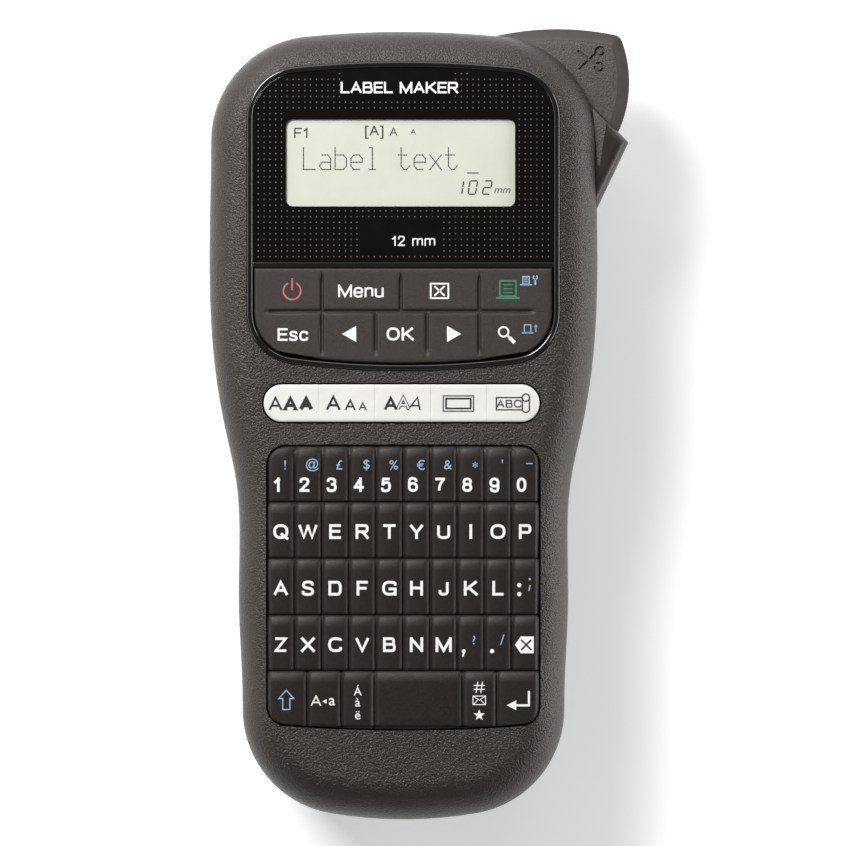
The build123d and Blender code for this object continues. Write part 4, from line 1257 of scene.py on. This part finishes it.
lever = {
    "pivot": (27.2, 87.7), "r": 30.7, "top": 22.6, "low": -50.0, "hubR": 9.0, "cornerR": 2.8, "boreR": 2.55,
    "pocketR": 6.6, "pocketTop": 30.3, "pin": (37.194, 87.351, 1.5, 14.0), "bandWidth": 3.0, "bandDrop": 0.9,
    "topStart": (20.0, 98.6), "topMiddle": (38.0, 101.3), "lowZ": 24.9, "bandFoot": 0.5,
    "scissors": (48.2, 93.3), "cutDepth": 0.60, "cutWidth": 0.66,
}


def circleThrough(a, b, c):
    ax, ay, bx, by, cx, cy = *a, *b, *c
    d = 2 * (ax * (by - cy) + bx * (cy - ay) + cx * (ay - by))
    aa, bb, cc = ax * ax + ay * ay, bx * bx + by * by, cx * cx + cy * cy
    ux = (aa * (by - cy) + bb * (cy - ay) + cc * (ay - by)) / d
    uy = (aa * (cx - bx) + bb * (ax - cx) + cc * (bx - ax)) / d
    return ux, uy, math.hypot(ax - ux, ay - uy)


def leverLoop(inset, steps=26):
    # outline with the outer edges moved in: top arc, round corner, long arc, then back round the hub
    px, py = lever["pivot"]
    angle = math.radians(lever["top"])
    tip = (px + lever["r"] * math.cos(angle), py + lever["r"] * math.sin(angle))
    tx, ty, tr = circleThrough(lever["topStart"], lever["topMiddle"], tip)
    corner = max(lever["cornerR"] - inset, 0.25)
    topR, sideR = tr - inset - corner, lever["r"] - inset - corner
    # middle of the corner round lies on both inner circles
    gap = math.hypot(px - tx, py - ty)
    a = (topR ** 2 - sideR ** 2 + gap ** 2) / (2 * gap)
    h = math.sqrt(max(0.0, topR ** 2 - a ** 2))
    ux, uy = (px - tx) / gap, (py - ty) / gap
    options = [(tx + ux * a - uy * h * k, ty + uy * a + ux * h * k) for k in (1, -1)]
    qx, qy = max(options, key=lambda q: q[0])
    topEnd = math.degrees(math.atan2(qy - ty, qx - tx))
    sideStart = math.degrees(math.atan2(qy - py, qx - px))
    first = math.degrees(math.atan2(lever["topStart"][1] - ty, lever["topStart"][0] - tx))
    back = arcPoints(px, py, lever["hubR"], lever["low"] - 30, -180, 16)
    outline = arcPoints(tx, ty, tr - inset, first, topEnd, steps)
    outline += arcPoints(qx, qy, corner, topEnd, sideStart, 10)[1:]
    outline += arcPoints(px, py, lever["r"] - inset, sideStart, lever["low"], steps)[1:]
    return outline + back


def carve(obj, tool):
    # cuts one closed tool out of a closed piece
    cut = obj.modifiers.new("cut", "BOOLEAN")
    cut.operation = "DIFFERENCE"
    cut.object = tool
    cut.solver = "EXACT"
    mesh = shownMesh(obj)
    obj.modifiers.clear()
    obj.data = mesh
    bpy.data.objects.remove(tool)


def scissorLoops():
    x, y = lever["scissors"]
    w = lever["cutWidth"]
    strokes = [barLoop(x - 3.4, y + 2.3, x + 1.2, y - 1.3, w), barLoop(x - 3.0, y - 2.2, x + 0.9, y + 1.6, w),
               circleLoop(x - 0.4, y - 0.05, 0.5, 16)]
    rings = [[circleLoop(x + rx, y + ry, 1.35, 28), circleLoop(x + rx, y + ry, 0.68, 28)]
             for rx, ry in ((2.1, 2.2), (1.9, -1.8))]
    return [[s] for s in strokes] + rings


def makeLever():
    high = boxOf("cutter_lever")[1]
    topZ, lowZ = high[2], lever["lowZ"]
    bandTop = topZ - lever["bandDrop"]
    footZ, bandWidth = bandTop - lever["bandFoot"], lever["bandWidth"]
    px, py = lever["pivot"]
    bore = list(reversed(circleLoop(px, py, lever["boreR"], 48)))
    pocket = list(reversed(circleLoop(px, py, lever["pocketR"], 64)))
    under = plate("leverUnder", [leverLoop(0), pocket], lowZ, lever["pocketTop"], 0)
    body = plate("leverBody", [leverLoop(0), bore], lever["pocketTop"], footZ, 0)
    # sloping band round the face, closed underneath
    section = [(0.0, footZ), (0.0, bandTop - 0.25), (0.12, bandTop - 0.08), (0.35, bandTop),
               (bandWidth - 0.25, topZ - 0.16), (bandWidth, topZ - 0.02),
               (bandWidth + 0.3, topZ - 0.02), (bandWidth + 0.3, footZ)]
    band = sweptLoop("leverBand", section, leverLoop)
    face = plate("leverPlate", [leverLoop(bandWidth + 0.05), bore], footZ, topZ, 0.1)
    for loops in scissorLoops():
        carve(face, plate("tool", loops, topZ - lever["cutDepth"], topZ + 1))
    pinX, pinY, pinR, pinLow = lever["pin"]
    pin = plate("leverPin", [circleLoop(pinX, pinY, pinR, 40)], pinLow, lowZ + 4, 0.2)
    for part in (under, body, band, pin):
        part.data.materials.clear()
        part.data.materials.append(finish["leverRim"])
    face.data.materials.clear()
    face.data.materials.append(finish["leverFace"])
    whole = joinPieces("leverPiece", [under, body, band, face, pin])
    finishPiece(whole, "lever", ["cutter_lever"])


# outline and height of the patch that carries the painted highlight on the guard
guardHighlightPatch = {"points": [(48.4, 80.7), (51.9, 77.2), (50.2, 66.0), (49.6, 66.2)], "proud": 0.10}


def makeGuardHighlightPatch():
    # grained patch on the guard beside the shell; its lighter tone is a painted highlight, the light a sloping
    # facet there would catch
    high = boxOf("cutter_guard")[1]
    patch = plate("guardHighlightPatch", [guardHighlightPatch["points"]], high[2] - 0.4, high[2] + guardHighlightPatch["proud"], 0.08)
    # the lighter lever-face finish paints the highlight; only its grain is the guard's own
    finishPiece(patch, "casing", (), ["leverFace"])


makeLever()
makeGuardHighlightPatch()
print("lever made")
